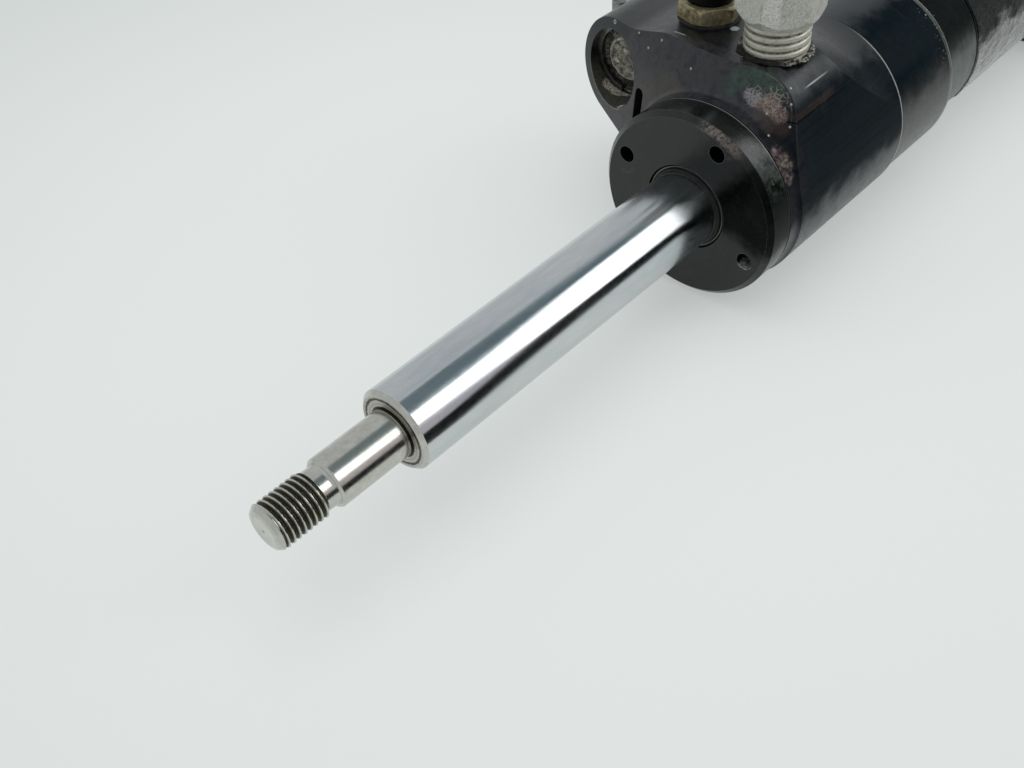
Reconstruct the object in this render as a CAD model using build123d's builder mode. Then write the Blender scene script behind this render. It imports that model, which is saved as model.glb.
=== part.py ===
from build123d import *
import os
from math import cos, radians, sin

# Single-rod fluid-power cylinder, in millimetres.
# +X runs along the rod towards its threaded tip, and +Z is up through the flat port face.
# The origin is the centre of the rear eye, on the cylinder's axis.
os.makedirs("parts", exist_ok=True)

# Driving sizes
face_x = 205.0  # front face of the gland, from the rear eye
rod_radius = 9.0
bore_radius = 16.0
tube_radius = 20.7
gland_radius = 23.1
gland_body_radius = 18.9
head_radius = 23.7
collar_radius = 23.2
port_face_z = 30.4
fit_gap = 0.05  # radial clearance of a running fit
seat_gap = 0.02  # radial clearance of a part that is seated and stays put

# Rod end, measured forward from the gland's face
shoulder_reach = 91.0
spigot_reach = 107.7
thread_reach = 110.9
tip_reach = 121.7
spigot_radius = 5.3
neck_radius = 4.4
rod_thread_radius = 4.95  # M10, over the crests
rod_nose_length = 1.4  # 45 degree chamfer on the threaded tip

# Stations along the body, measured back from the gland's face
rim_back = 7.1
boss_front = 7.5
cone_start = 11.1
gland_end = 38.0
tube_front = 44.6
head_rear = 55.2
collar_front = 55.4
collar_rear = 81.3
tape_front = 98.8
tape_rear = 150.0
cap_front = 160.0
tube_rear = 174.0
cap_rear = 187.0
piston_front = 62.0
piston_rear = 82.0
nut_rear = 90.0

# Head shape
cone_slope = 0.38  # fall of the turned front surface per unit of radius
flank_lean = 17.0  # degrees that the +Y flank leans inwards
corner_radius = 10.0
shoulder_sweep_radius = 42.0  # concave run-out behind the port face
lug_y = -35.0
lug_z = 15.6
lug_radius = 11.7
lug_rear = 52.0
lug_bore_radius = 9.1
valve_bore_radius = 8.2

# Ports on the flat face
adapter_x = face_x - 24.3
adapter_y = 4.7
fitting_x = face_x - 28.0
fitting_y = -15.5
bleed_x = face_x - 40.6
bleed_y = -50.6
bleed_boss_top = 12.8

# Rear end
cap_width = 2 * head_radius
eye_radius = 14.0
eye_width = 20.0
eye_bore_radius = 8.0
bush_bore_radius = 6.0
rear_port_x = face_x - 181.0


def behind(distance):
    """Station on the axis, measured back from the gland's front face."""
    return face_x - distance


def cross_plane(x):
    """Plane across the cylinder at x, with its local axes along Y and Z."""
    return Plane.YZ.offset(x)


def band(front, rear, inner, outer):
    """Add to a sketch the half-section of a ring, between two stations behind the gland's face."""
    with Locations((behind((front + rear) / 2), (inner + outer) / 2)):
        Rectangle(rear - front, outer - inner)


def bands(*sizes):
    """Add the half-sections of several rings to a sketch."""
    for ring_sizes in sizes:
        band(*ring_sizes)


def turned(outline, y=0.0, z=0.0):
    """A solid turned about the line through (y, z) along X, from (x, radius) points."""
    with BuildPart() as piece:
        with BuildSketch(Plane(origin=(0, y, z), x_dir=(1, 0, 0), z_dir=(0, -1, 0))):
            with BuildLine():
                Polyline(*outline, close=True)
            make_face()
        revolve(axis=Axis((0, y, z), (1, 0, 0)))
    return piece


def ring(front, rear, inner, outer, y=0.0, z=0.0, edge=0.2):
    """A turned ring with small outer edge chamfers, between two stations behind the gland's face."""
    start, end = behind(rear), behind(front)
    outline = [
        (start, inner),
        (start, outer - edge),
        (start + edge, outer),
        (end - edge, outer),
        (end, outer - edge),
        (end, inner),
    ]
    return turned(outline, y, z)


def upright(outline, x, y):
    """A solid turned about the vertical line through (x, y), from (radius, z) points."""
    with BuildPart() as piece:
        with BuildSketch(Plane(origin=(x, y, 0), x_dir=(1, 0, 0), z_dir=(0, -1, 0))):
            with BuildLine():
                Polyline(*outline, close=True)
            make_face()
        revolve(axis=Axis((x, y, 0), (0, 0, 1)))
    return piece


def keep(piece, label):
    """Label a finished piece and write it as its own STEP file."""
    piece.part.label = label
    export_step(piece.part, f"parts/{label}.step")


# Rod: chromed shaft, shoulder, spigot, undercut neck and threaded tip, with the piston seat behind
piston_seat_radius = 6.0
tail_radius = 5.0
tail_end = nut_rear + 2.0
shoulder_x = face_x + shoulder_reach
spigot_x = face_x + spigot_reach
thread_x = face_x + thread_reach
tip_x = face_x + tip_reach
piston_rod = turned(
    [
        (behind(tail_end), 0),
        (behind(tail_end), tail_radius - 0.8),
        (behind(tail_end - 0.8), tail_radius),
        (behind(piston_rear), tail_radius),
        (behind(piston_rear), piston_seat_radius),
        (behind(piston_front), piston_seat_radius),
        (behind(piston_front), rod_radius),
        (shoulder_x - 0.9, rod_radius),
        (shoulder_x, rod_radius - 0.9),
        (shoulder_x, spigot_radius),
        (spigot_x - 0.5, spigot_radius),
        (spigot_x, spigot_radius - 0.4),
        (spigot_x, neck_radius),
        (thread_x - 0.6, neck_radius),
        (thread_x, rod_thread_radius),
        (tip_x - rod_nose_length, rod_thread_radius),
        (tip_x, rod_thread_radius - rod_nose_length),
        (tip_x, 0),
    ]
)
keep(piston_rod, "piston_rod")

# Gland: screwed-in disc and body that carry the wiper, rod seal and guide ring
wiper_pocket_radius = 10.5
seal_pocket_radius = 12.6
guide_pocket_radius = 10.6
gland_clear_radius = 10.2
gland_land_radius = 9.3
spanner_pitch_radius = 18.35
spanner_hole_radius = 2.0
spanner_phase = 66.0
oring_floor_radius = 16.9
with BuildPart() as gland:
    with BuildSketch(Plane.XZ):
        band(0, rim_back, 0, gland_radius)
        band(rim_back, gland_end, 0, gland_body_radius)
    revolve(axis=Axis.X)
    round_edges = gland.edges().filter_by(GeomType.CIRCLE).sort_by(Axis.X)
    chamfer(round_edges[-1], length=1.2)
    chamfer(round_edges[0], length=0.5)
    with BuildSketch(Plane.XZ):
        bands(
            (0, 5.0, 0, wiper_pocket_radius),
            (5.0, 6.5, 0, gland_land_radius),
            (6.5, 13.0, 0, seal_pocket_radius),
            (13.0, 14.5, 0, gland_land_radius),
            (14.5, 21.0, 0, guide_pocket_radius),
            (21.0, gland_end, 0, gland_clear_radius),
        )
    revolve(axis=Axis.X, mode=Mode.SUBTRACT)
    with BuildSketch(Plane.XZ):
        bands(
            (14.0, 16.4, oring_floor_radius, gland_radius),
            (20.0, 29.0, 16.6, gland_radius),
            (32.0, 34.4, oring_floor_radius, gland_radius),
        )
    revolve(axis=Axis.X, mode=Mode.SUBTRACT)
    with BuildSketch(cross_plane(face_x)):
        with PolarLocations(spanner_pitch_radius, 4, start_angle=spanner_phase):
            Circle(spanner_hole_radius)
    extrude(amount=-5.0, mode=Mode.SUBTRACT)
    with Locations((adapter_x, 0, 0)):
        Cylinder(2.0, 2 * gland_body_radius, mode=Mode.SUBTRACT)
        Cylinder(2.0, 2 * gland_body_radius, rotation=(90, 0, 0), mode=Mode.SUBTRACT)
keep(gland, "gland")

# Rings inside the gland
wiper_seat_radius = wiper_pocket_radius - seat_gap
wiper_nose_radius = 10.05  # leaves a narrow dark gap round the case at the gland's face
wiper_case = turned(
    [
        (behind(4.8), 9.75),
        (behind(4.8), wiper_seat_radius),
        (behind(1.7), wiper_seat_radius),
        (behind(1.3), wiper_nose_radius),
        (behind(0.3), wiper_nose_radius),
        (behind(0.3), 9.75),
    ]
)
keep(wiper_case, "wiper_case")
lip_radius = rod_radius + fit_gap
wiper_lip = turned(
    [
        (behind(4.7), lip_radius + 0.25),
        (behind(4.7), 9.7),
        (behind(0.9), 9.7),
        (behind(-0.2), 9.45),
        (behind(-0.2), lip_radius),
        (behind(0.8), lip_radius),
        (behind(1.6), lip_radius + 0.25),
    ]
)
keep(wiper_lip, "wiper_lip")
rod_seal = ring(6.7, 11.2, lip_radius, seal_pocket_radius - seat_gap)
keep(rod_seal, "rod_seal")
backup_ring = ring(11.3, 12.9, lip_radius + 0.05, seal_pocket_radius - seat_gap)
keep(backup_ring, "backup_ring")
guide_ring = ring(14.6, 20.9, rod_radius + 0.04, guide_pocket_radius - seat_gap)
keep(guide_ring, "guide_ring")

# Two O-rings that seal the gland in the head, one on each side of the port groove
head_bore_radius = gland_body_radius + 0.1
with BuildPart() as gland_orings:
    with BuildSketch(Plane.XZ):
        for front in (14.1, 32.1):
            with Locations((behind(front + 1.1), (oring_floor_radius + head_bore_radius) / 2)):
                RectangleRounded(2.1, head_bore_radius - oring_floor_radius - 2 * seat_gap, 0.6)
    revolve(axis=Axis.X)
keep(gland_orings, "gland_orings")

# Head block: round below, a flank that leans in on +Y, a flat port face on top, and a lug on -Y
thread_stub_depth = 9.0
fitting_stub_depth = 7.0


def run_out(degrees):
    """Point (x, radius) on the concave arc that rises from the head's rear edge."""
    x = behind(head_rear) + shoulder_sweep_radius * sin(radians(degrees))
    return x, head_radius + shoulder_sweep_radius * (1 - cos(radians(degrees)))


with BuildPart() as head_block:
    flank_foot = (head_radius * cos(radians(flank_lean)), head_radius * sin(radians(flank_lean)))
    flank_rise = (port_face_z - flank_foot[1]) / cos(radians(flank_lean))
    flank_top = (flank_foot[0] - flank_rise * sin(radians(flank_lean)), port_face_z)
    with BuildSketch(cross_plane(behind(head_rear))):
        with BuildLine():
            Polyline(flank_foot, flank_top, (-12, port_face_z), (-12, 0), (0, 0), close=True)
        make_face()
        flank_corner = vertices().group_by(Axis.Y)[-1].sort_by(Axis.X)[-1]
        fillet(flank_corner, radius=corner_radius)
        Circle(head_radius)
    extrude(amount=head_rear - boss_front)
    # Turned run-out: the block sweeps down behind the port face to a chamfered round rear edge
    sweep_low = run_out(0.7)
    sweep_high = run_out(50)
    with BuildSketch(Plane.XZ):
        with BuildLine():
            ThreePointArc(sweep_low, run_out(25), sweep_high)
            Polyline(
                sweep_high,
                (behind(boss_front), sweep_high[1]),
                (behind(boss_front), 0),
                (behind(head_rear), 0),
                (behind(head_rear), head_radius - 0.5),
                sweep_low,
            )
        make_face()
    revolve(axis=Axis.X, mode=Mode.INTERSECT)
    # Lug tube and the web that joins it to the block
    underside = radians(19.0)
    with BuildSketch(cross_plane(behind(lug_rear))):
        with BuildLine():
            Polyline(
                (-6, port_face_z),
                (-18.5, port_face_z),
                (-28.5, 27.5),
                (lug_y, lug_z + lug_radius),
                (lug_y - lug_radius * sin(underside), lug_z - lug_radius * cos(underside)),
                (-20, -1.9),
                (-6, 0),
                close=True,
            )
        make_face()
        top_bends = vertices().filter_by(lambda v: -30 < v.X < -15 and v.Y > 20)
        fillet(top_bends, radius=13)
        with Locations((lug_y, lug_z)):
            Circle(lug_radius)
    extrude(amount=lug_rear - boss_front)
    # Small boss on the lug's outer side, for the bleed screw
    with BuildSketch(Plane.XY.offset(bleed_boss_top)):
        with Locations((bleed_x, bleed_y + 3.5)):
            RectangleRounded(8, 15, 3.5)
    extrude(amount=-8.5)
    # Conical front surface round the boss
    cone_reach = 60.0
    with BuildSketch(Plane.XZ):
        with BuildLine():
            Polyline(
                (behind(boss_front - 1), gland_radius),
                (behind(cone_start), gland_radius),
                (behind(cone_start + cone_slope * (cone_reach - gland_radius)), cone_reach),
                (behind(boss_front - 1), cone_reach),
                close=True,
            )
        make_face()
        boss_root = vertices().sort_by(Axis.Y)[0:2].sort_by(Axis.X)[0]
        fillet(boss_root, radius=2.2)
    revolve(axis=Axis.X, mode=Mode.SUBTRACT)
    with BuildSketch(Plane.XZ):
        bands(
            (boss_front - 1, gland_end + 0.5, 0, head_bore_radius),
            (gland_end, tube_front, 0, bore_radius),
            (tube_front - 0.1, head_rear + 1, 0, tube_radius + fit_gap),
        )
    revolve(axis=Axis.X, mode=Mode.SUBTRACT)
    # Slot in the web, between the lug and the boss
    with BuildSketch(cross_plane(behind(40))):
        with Locations((-23.4, 10)):
            SlotOverall(12, 2.8, rotation=90)
    extrude(amount=40, mode=Mode.SUBTRACT)
    # Stepped lug bore with its snap-ring groove and rear outlet
    for depth_from, depth_to, radius in (
        (0, 29.0, lug_bore_radius),
        (22.6, 23.9, 9.5),
        (28.9, 48.6, valve_bore_radius),
        (48.5, 53.0, 3.0),
    ):
        with BuildSketch(cross_plane(behind(depth_to))):
            with Locations((lug_y, lug_z)):
                Circle(radius)
        extrude(amount=depth_to - depth_from, mode=Mode.SUBTRACT)
    # Ports in the flat face and the drilling from the small port to the lug bore
    with Locations((adapter_x, adapter_y, port_face_z)):
        Hole(radius=6.65, depth=thread_stub_depth)
    with Locations((adapter_x, 0, port_face_z - thread_stub_depth)):
        Hole(radius=3.0, depth=4.0)
    with Locations((fitting_x, fitting_y, port_face_z)):
        Hole(radius=4.85, depth=fitting_stub_depth)
    with BuildSketch(Plane.XZ.offset(-fitting_y)):
        with Locations((fitting_x - 3, port_face_z - fitting_stub_depth - 0.6)):
            Circle(1.6)
    extrude(amount=17, mode=Mode.SUBTRACT)
    with Locations((bleed_x, bleed_y, bleed_boss_top)):
        Hole(radius=2.0, depth=6.5)
keep(head_block, "head_block")

# Lug bore contents: snap ring, plug with its O-ring, spring, poppet and seat
with BuildPart() as lug_snap_ring:
    with BuildSketch(cross_plane(behind(23.8))):
        with Locations((lug_y, lug_z)):
            Circle(9.45)
            Circle(7.9, mode=Mode.SUBTRACT)
        with Locations((lug_y, lug_z - lug_bore_radius)):
            Rectangle(3.0, 5.0, mode=Mode.SUBTRACT)
    extrude(amount=1.1)
keep(lug_snap_ring, "lug_snap_ring")

plug_groove_radius = 7.4
plug_radius = lug_bore_radius - fit_gap
lug_plug = turned(
    [
        (behind(29.0), 0),
        (behind(29.0), plug_radius - 0.3),
        (behind(28.7), plug_radius),
        (behind(27.6), plug_radius),
        (behind(27.6), plug_groove_radius),
        (behind(25.4), plug_groove_radius),
        (behind(25.4), plug_radius),
        (behind(24.2), plug_radius),
        (behind(23.9), plug_radius - 0.3),
        (behind(23.9), 5.9),
        (behind(22.9), 5.4),
        (behind(22.7), 4.6),
        (behind(22.7), 0),
    ],
    lug_y,
    lug_z,
)
keep(lug_plug, "lug_plug")
plug_oring = ring(25.5, 27.5, plug_groove_radius + seat_gap, lug_bore_radius - seat_gap, lug_y, lug_z, 0.5)
keep(plug_oring, "plug_oring")

spring_wire_radius = 0.6
spring_coil_radius = 5.6
spring_length = 11.6
spring_turns = 4
with BuildPart() as valve_spring:
    with BuildLine() as spring_path:
        Helix(
            pitch=(spring_length - 2 * spring_wire_radius) / spring_turns,
            height=spring_length - 2 * spring_wire_radius,
            radius=spring_coil_radius,
            center=(behind(40.9 - spring_wire_radius), lug_y, lug_z),
            direction=(1, 0, 0),
        )
    with BuildSketch(Plane(origin=spring_path.line @ 0, z_dir=spring_path.line % 0)):
        Circle(spring_wire_radius)
    sweep(is_frenet=True)
keep(valve_spring, "valve_spring")

poppet_radius = valve_bore_radius - fit_gap
valve_poppet = turned(
    [
        (behind(41.0), 0),
        (behind(41.0), poppet_radius - 0.3),
        (behind(41.3), poppet_radius),
        (behind(44.8), poppet_radius),
        (behind(45.2), poppet_radius - 0.4),
        (behind(45.2), 5.9),
        (behind(47.4), 3.0),
        (behind(47.4), 0),
    ],
    lug_y,
    lug_z,
)
keep(valve_poppet, "valve_poppet")
valve_seat = turned(
    [
        (behind(48.5), 2.4),
        (behind(48.5), valve_bore_radius - seat_gap),
        (behind(45.6), valve_bore_radius - seat_gap),
        (behind(45.6), 5.9),
        (behind(48.2), 2.4),
    ],
    lug_y,
    lug_z,
)
keep(valve_seat, "valve_seat")

# Barrel tube, its O-ring, the collar behind the head and the tape wrapped round the tube
tube_groove_radius = 18.8
turned_groove_radius = 19.9
turned_groove_width = 0.9
with BuildPart() as barrel_tube:
    with BuildSketch(Plane.XZ):
        band(tube_front, tube_rear, bore_radius, tube_radius)
    revolve(axis=Axis.X)
    # Seal groove inside the head, and the narrow groove just in front of the tape
    with BuildSketch(Plane.XZ):
        bands(
            (47.0, 49.4, tube_groove_radius, head_radius),
            (tape_front - turned_groove_width, tape_front, turned_groove_radius, head_radius),
        )
    revolve(axis=Axis.X, mode=Mode.SUBTRACT)
keep(barrel_tube, "barrel_tube")
tube_oring = ring(47.1, 49.3, tube_groove_radius + seat_gap, tube_radius + 0.03, edge=0.6)
keep(tube_oring, "tube_oring")

collar_inner = tube_radius + fit_gap
collar_ring = turned(
    [
        (behind(collar_rear), collar_inner),
        (behind(collar_rear), collar_radius - 1.3),
        (behind(collar_rear - 1.3), collar_radius),
        (behind(collar_front + 0.3), collar_radius),
        (behind(collar_front), collar_radius - 0.3),
        (behind(collar_front), collar_inner),
    ]
)
keep(collar_ring, "collar_ring")
tape_band = ring(tape_front, tape_rear, tube_radius + seat_gap, tube_radius + 0.4, edge=0.05)
keep(tape_band, "tape_band")

# Piston, its rings and its nut
seal_groove_radius = 12.0
wear_groove_radius = 14.0
piston_radius = bore_radius - 0.4
piston_bore_radius = piston_seat_radius + seat_gap
piston_oring_radius = 7.6
wear_starts = (64.0, 76.0)
with BuildPart() as piston:
    with BuildSketch(Plane.XZ):
        band(piston_front, piston_rear, piston_bore_radius, piston_radius)
    revolve(axis=Axis.X)
    rim_edges = piston.edges().filter_by(GeomType.CIRCLE).group_by(SortBy.RADIUS)[-1]
    chamfer(rim_edges, length=0.6)
    with BuildSketch(Plane.XZ):
        bands(
            (wear_starts[0], wear_starts[0] + 4, wear_groove_radius, bore_radius),
            (wear_starts[1], wear_starts[1] + 4, wear_groove_radius, bore_radius),
            (69.0, 75.0, seal_groove_radius, bore_radius),
            (78.0, 80.2, 0, piston_oring_radius),
        )
    revolve(axis=Axis.X, mode=Mode.SUBTRACT)
keep(piston, "piston")
piston_oring = ring(
    78.1, 80.1, piston_seat_radius + 0.01, piston_oring_radius - seat_gap, edge=0.4
)
keep(piston_oring, "piston_oring")
piston_seal = ring(69.1, 74.9, seal_groove_radius + 0.05, bore_radius - fit_gap, edge=0.5)
keep(piston_seal, "piston_seal")
with BuildPart() as wear_rings:
    with BuildSketch(Plane.XZ):
        for start in wear_starts:
            band(start + 0.1, start + 3.9, wear_groove_radius + 0.05, bore_radius - fit_gap)
    revolve(axis=Axis.X)
keep(wear_rings, "wear_rings")
with BuildPart() as piston_nut:
    with BuildSketch(cross_plane(behind(nut_rear))):
        RegularPolygon(7.5, 6, major_radius=False)
        Circle(tail_radius + seat_gap, mode=Mode.SUBTRACT)
    extrude(amount=nut_rear - piston_rear)
keep(piston_nut, "piston_nut")

# Rear cap: square block over the tube's end, a spigot in its bore, an eye, and a port on top
spigot_depth = 168.0
cap_groove_radius = 14.0
with BuildPart() as rear_cap:
    with BuildSketch(cross_plane(behind(cap_rear))):
        RectangleRounded(cap_width, cap_width, 5.0)
    extrude(amount=cap_rear - cap_front)
    end_faces = rear_cap.faces().filter_by(Axis.X)
    chamfer(end_faces.edges(), length=0.8)
    with BuildSketch(Plane.XZ):
        with BuildLine():
            Polyline(
                (behind(cap_rear + 5), eye_radius - 1),
                (behind(cap_rear - 0.5), eye_radius - 1),
                (behind(cap_rear - 0.5), 1 - eye_radius),
                (behind(cap_rear + 5), 1 - eye_radius),
                (0, -eye_radius),
                (0, eye_radius),
                close=True,
            )
        make_face()
        Circle(eye_radius)
    extrude(amount=eye_width / 2 - 0.5, both=True)
    with BuildSketch(Plane.XZ):
        Circle(eye_bore_radius)
    extrude(amount=eye_width, both=True, mode=Mode.SUBTRACT)
    with BuildSketch(Plane.XZ):
        bands((cap_front - 1, tube_rear + 0.1, 0, tube_radius + fit_gap))
    revolve(axis=Axis.X, mode=Mode.SUBTRACT)
    with BuildSketch(Plane.XZ):
        band(spigot_depth, tube_rear + 1, 0, bore_radius - fit_gap)
    revolve(axis=Axis.X)
    with BuildSketch(Plane.XZ):
        bands(
            (spigot_depth - 1, 180.0, 0, 9.4),
            (179.9, 184.0, 0, 4.0),
            (170.0, 172.4, cap_groove_radius, bore_radius),
        )
    revolve(axis=Axis.X, mode=Mode.SUBTRACT)
    with Locations((rear_port_x, 0, cap_width / 2)):
        CounterBoreHole(radius=4.3, counter_bore_radius=7.5, counter_bore_depth=0.8, depth=9.0)
        Hole(radius=2.5, depth=cap_width / 2)
keep(rear_cap, "rear_cap")
rear_cap_oring = ring(
    170.1, 172.3, cap_groove_radius + seat_gap, bore_radius - seat_gap, edge=0.5
)
keep(rear_cap_oring, "rear_cap_oring")
with BuildPart() as eye_bush:
    with BuildSketch(Plane.XZ):
        Circle(eye_bore_radius - seat_gap)
        Circle(bush_bore_radius, mode=Mode.SUBTRACT)
    extrude(amount=eye_width / 2, both=True)
    outer_edges = eye_bush.edges().filter_by(GeomType.CIRCLE).group_by(SortBy.RADIUS)[-1]
    chamfer(outer_edges, length=0.3)
keep(eye_bush, "eye_bush")

# Port adapter: hex with a female port, on an exposed thread that screws into the head
adapter_thread_top = port_face_z + 7.2
adapter_top = adapter_thread_top + 14.0
adapter_hex_apothem = 8.5
with BuildPart() as port_adapter:
    with BuildSketch(Plane.XY.offset(adapter_thread_top)):
        with Locations((adapter_x, adapter_y)):
            RegularPolygon(adapter_hex_apothem, 6, major_radius=False, rotation=8)
    extrude(amount=adapter_top - adapter_thread_top)
    with BuildSketch(Plane(origin=(adapter_x, adapter_y, 0), x_dir=(1, 0, 0), z_dir=(0, -1, 0))):
        with BuildLine():
            Polyline(
                (0, adapter_thread_top),
                (7.7, adapter_thread_top),
                (10, adapter_thread_top + 2.9),
                (10, adapter_top - 0.9),
                (8.5, adapter_top),
                (0, adapter_top),
                close=True,
            )
        make_face()
    revolve(axis=Axis((adapter_x, adapter_y, 0), (0, 0, 1)), mode=Mode.INTERSECT)
    with BuildSketch(Plane.XY.offset(port_face_z + 0.02)):
        with Locations((adapter_x, adapter_y)):
            Circle(7.2)
    extrude(amount=adapter_thread_top - port_face_z)
    with BuildSketch(Plane.XY.offset(port_face_z - thread_stub_depth + 0.2)):
        with Locations((adapter_x, adapter_y)):
            Circle(6.6)
    extrude(amount=thread_stub_depth)
    with Locations((adapter_x, adapter_y, adapter_top)):
        CounterBoreHole(radius=3.2, counter_bore_radius=5.9, counter_bore_depth=11.0)
keep(port_adapter, "port_adapter")
thread_sealant = upright(
    [
        (7.22, port_face_z + 0.02),
        (8.4, port_face_z + 0.02),
        (8.2, port_face_z + 0.6),
        (7.6, port_face_z + 1.2),
        (7.22, port_face_z + 1.2),
    ],
    adapter_x,
    adapter_y,
)
keep(thread_sealant, "thread_sealant")

# Push-in fitting: washer, brass hex, black sleeve, tube seal, grab ring and release collar
washer_top = port_face_z + 0.6
hex_top = washer_top + 3.8
sleeve_top = hex_top + 11.2
tube_socket_radius = 3.1
fitting_washer = upright(
    [
        (4.9, port_face_z + 0.02),
        (7.2, port_face_z + 0.02),
        (7.2, washer_top - 0.02),
        (4.9, washer_top - 0.02),
    ],
    fitting_x,
    fitting_y,
)
keep(fitting_washer, "fitting_washer")
with BuildPart() as fitting_hex:
    with BuildSketch(Plane.XY.offset(washer_top)):
        with Locations((fitting_x, fitting_y)):
            RegularPolygon(6.5, 6, major_radius=False, rotation=20)
    extrude(amount=hex_top - washer_top)
    with BuildSketch(Plane.XY.offset(port_face_z - fitting_stub_depth + 0.4)):
        with Locations((fitting_x, fitting_y)):
            Circle(4.8)
    extrude(amount=fitting_stub_depth + 3.0 + hex_top - washer_top)
    with Locations((fitting_x, fitting_y, sleeve_top)):
        Hole(radius=2.0)
keep(fitting_hex, "fitting_hex")
sleeve_bore = 4.9
fitting_sleeve = upright(
    [
        (sleeve_bore, hex_top + 0.05),
        (5.25, hex_top + 0.05),
        (5.25, sleeve_top - 0.6),
        (4.75, sleeve_top),
        (3.95, sleeve_top),
        (3.95, sleeve_top - 3.4),
        (sleeve_bore, sleeve_top - 3.4),
    ],
    fitting_x,
    fitting_y,
)
keep(fitting_sleeve, "fitting_sleeve")
fitting_tube_seal = upright(
    [
        (tube_socket_radius, hex_top + 3.8),
        (sleeve_bore - seat_gap, hex_top + 3.8),
        (sleeve_bore - seat_gap, hex_top + 5.8),
        (tube_socket_radius, hex_top + 5.8),
    ],
    fitting_x,
    fitting_y,
)
keep(fitting_tube_seal, "fitting_tube_seal")
fitting_grab_ring = upright(
    [
        (tube_socket_radius, hex_top + 6.0),
        (sleeve_bore - seat_gap, hex_top + 6.0),
        (sleeve_bore - seat_gap, hex_top + 6.5),
        (tube_socket_radius, hex_top + 6.3),
    ],
    fitting_x,
    fitting_y,
)
keep(fitting_grab_ring, "fitting_grab_ring")
collar_skirt_radius = 3.88
release_collar = upright(
    [
        (tube_socket_radius, sleeve_top - 3.2),
        (collar_skirt_radius, sleeve_top - 3.2),
        (collar_skirt_radius, sleeve_top + 1.4),
        (4.6, sleeve_top + 1.4),
        (4.6, sleeve_top + 2.4),
        (4.3, sleeve_top + 2.7),
        (tube_socket_radius + 0.4, sleeve_top + 2.7),
        (tube_socket_radius, sleeve_top + 2.3),
    ],
    fitting_x,
    fitting_y,
)
keep(release_collar, "release_collar")

# Bleed screw, standing in the boss beside the lug
bleed_top = bleed_boss_top + 7.6
with BuildPart() as bleed_screw:
    with BuildSketch(Plane.XY.offset(bleed_boss_top + 0.02)):
        with Locations((bleed_x, bleed_y)):
            Circle(2.7)
    extrude(amount=bleed_top - bleed_boss_top)
    chamfer(bleed_screw.edges().group_by(Axis.Z)[-1], length=0.4)
    with BuildSketch(Plane.XY.offset(bleed_boss_top - 6.0)):
        with Locations((bleed_x, bleed_y)):
            Circle(1.98)
    extrude(amount=7.0)
    with BuildSketch(Plane.XY.offset(bleed_top + 0.02)):
        with Locations((bleed_x, bleed_y)):
            RegularPolygon(1.25, 6, major_radius=False)
    extrude(amount=-2.0, mode=Mode.SUBTRACT)
keep(bleed_screw, "bleed_screw")
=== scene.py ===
import functools
import math

import bmesh
import bpy
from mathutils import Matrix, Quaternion, Vector, noise


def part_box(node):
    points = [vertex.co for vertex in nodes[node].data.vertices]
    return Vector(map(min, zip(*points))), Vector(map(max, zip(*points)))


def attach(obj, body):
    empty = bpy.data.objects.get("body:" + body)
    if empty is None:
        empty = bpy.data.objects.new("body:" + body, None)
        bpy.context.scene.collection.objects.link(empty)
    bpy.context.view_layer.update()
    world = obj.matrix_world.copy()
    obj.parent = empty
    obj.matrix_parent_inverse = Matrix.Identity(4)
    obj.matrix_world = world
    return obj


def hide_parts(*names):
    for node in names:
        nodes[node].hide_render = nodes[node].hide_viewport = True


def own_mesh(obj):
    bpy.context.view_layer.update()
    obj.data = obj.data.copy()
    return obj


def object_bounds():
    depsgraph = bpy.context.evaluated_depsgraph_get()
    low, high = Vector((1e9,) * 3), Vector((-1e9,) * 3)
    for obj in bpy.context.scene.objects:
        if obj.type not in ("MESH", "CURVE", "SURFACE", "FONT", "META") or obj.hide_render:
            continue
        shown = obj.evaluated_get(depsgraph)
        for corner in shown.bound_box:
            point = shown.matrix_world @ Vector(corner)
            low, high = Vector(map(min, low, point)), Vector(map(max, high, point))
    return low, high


# Looks of a single-rod fluid-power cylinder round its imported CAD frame.
# +X runs along the rod towards its thread, and +Z is up through the flat port face.
# Finishes and pieces are worked out in millimetres; mesh points and the studio are in metres.
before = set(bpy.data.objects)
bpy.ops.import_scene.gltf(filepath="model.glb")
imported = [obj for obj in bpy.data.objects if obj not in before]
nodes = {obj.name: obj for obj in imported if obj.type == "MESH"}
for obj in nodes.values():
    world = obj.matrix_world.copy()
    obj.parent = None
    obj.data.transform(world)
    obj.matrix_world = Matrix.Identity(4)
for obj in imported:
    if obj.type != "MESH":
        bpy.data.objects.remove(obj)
cad_low, cad_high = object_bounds()
MM = 0.001


def box(node):
    """Lowest and highest corners of a CAD node, in millimetres."""
    low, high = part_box(node)
    return low / MM, high / MM


adapter_x, adapter_y, _ = sum(box("port_adapter"), Vector()) / 2
adapter_axis = (adapter_x, adapter_y, 0)
_, lug_y, lug_z = sum(box("lug_plug"), Vector()) / 2
port_face = box("fitting_washer")[0].z
gland_face = box("gland")[1].x
head_rear = box("head_block")[0].x
collar_rear = box("collar_ring")[0].x
rod_tip = box("piston_rod")[1].x
camera_place = (0.38211, 0.12205, 0.15224)
FLOOR_REACH = 3.0
SHARP_EDGE = math.radians(38)
AXIS_X = (Vector((1, 0, 0)), Vector((0, 1, 0)), Vector((0, 0, 1)))
AXIS_Z = (Vector((0, 0, 1)), Vector((1, 0, 0)), Vector((0, 1, 0)))


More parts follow.
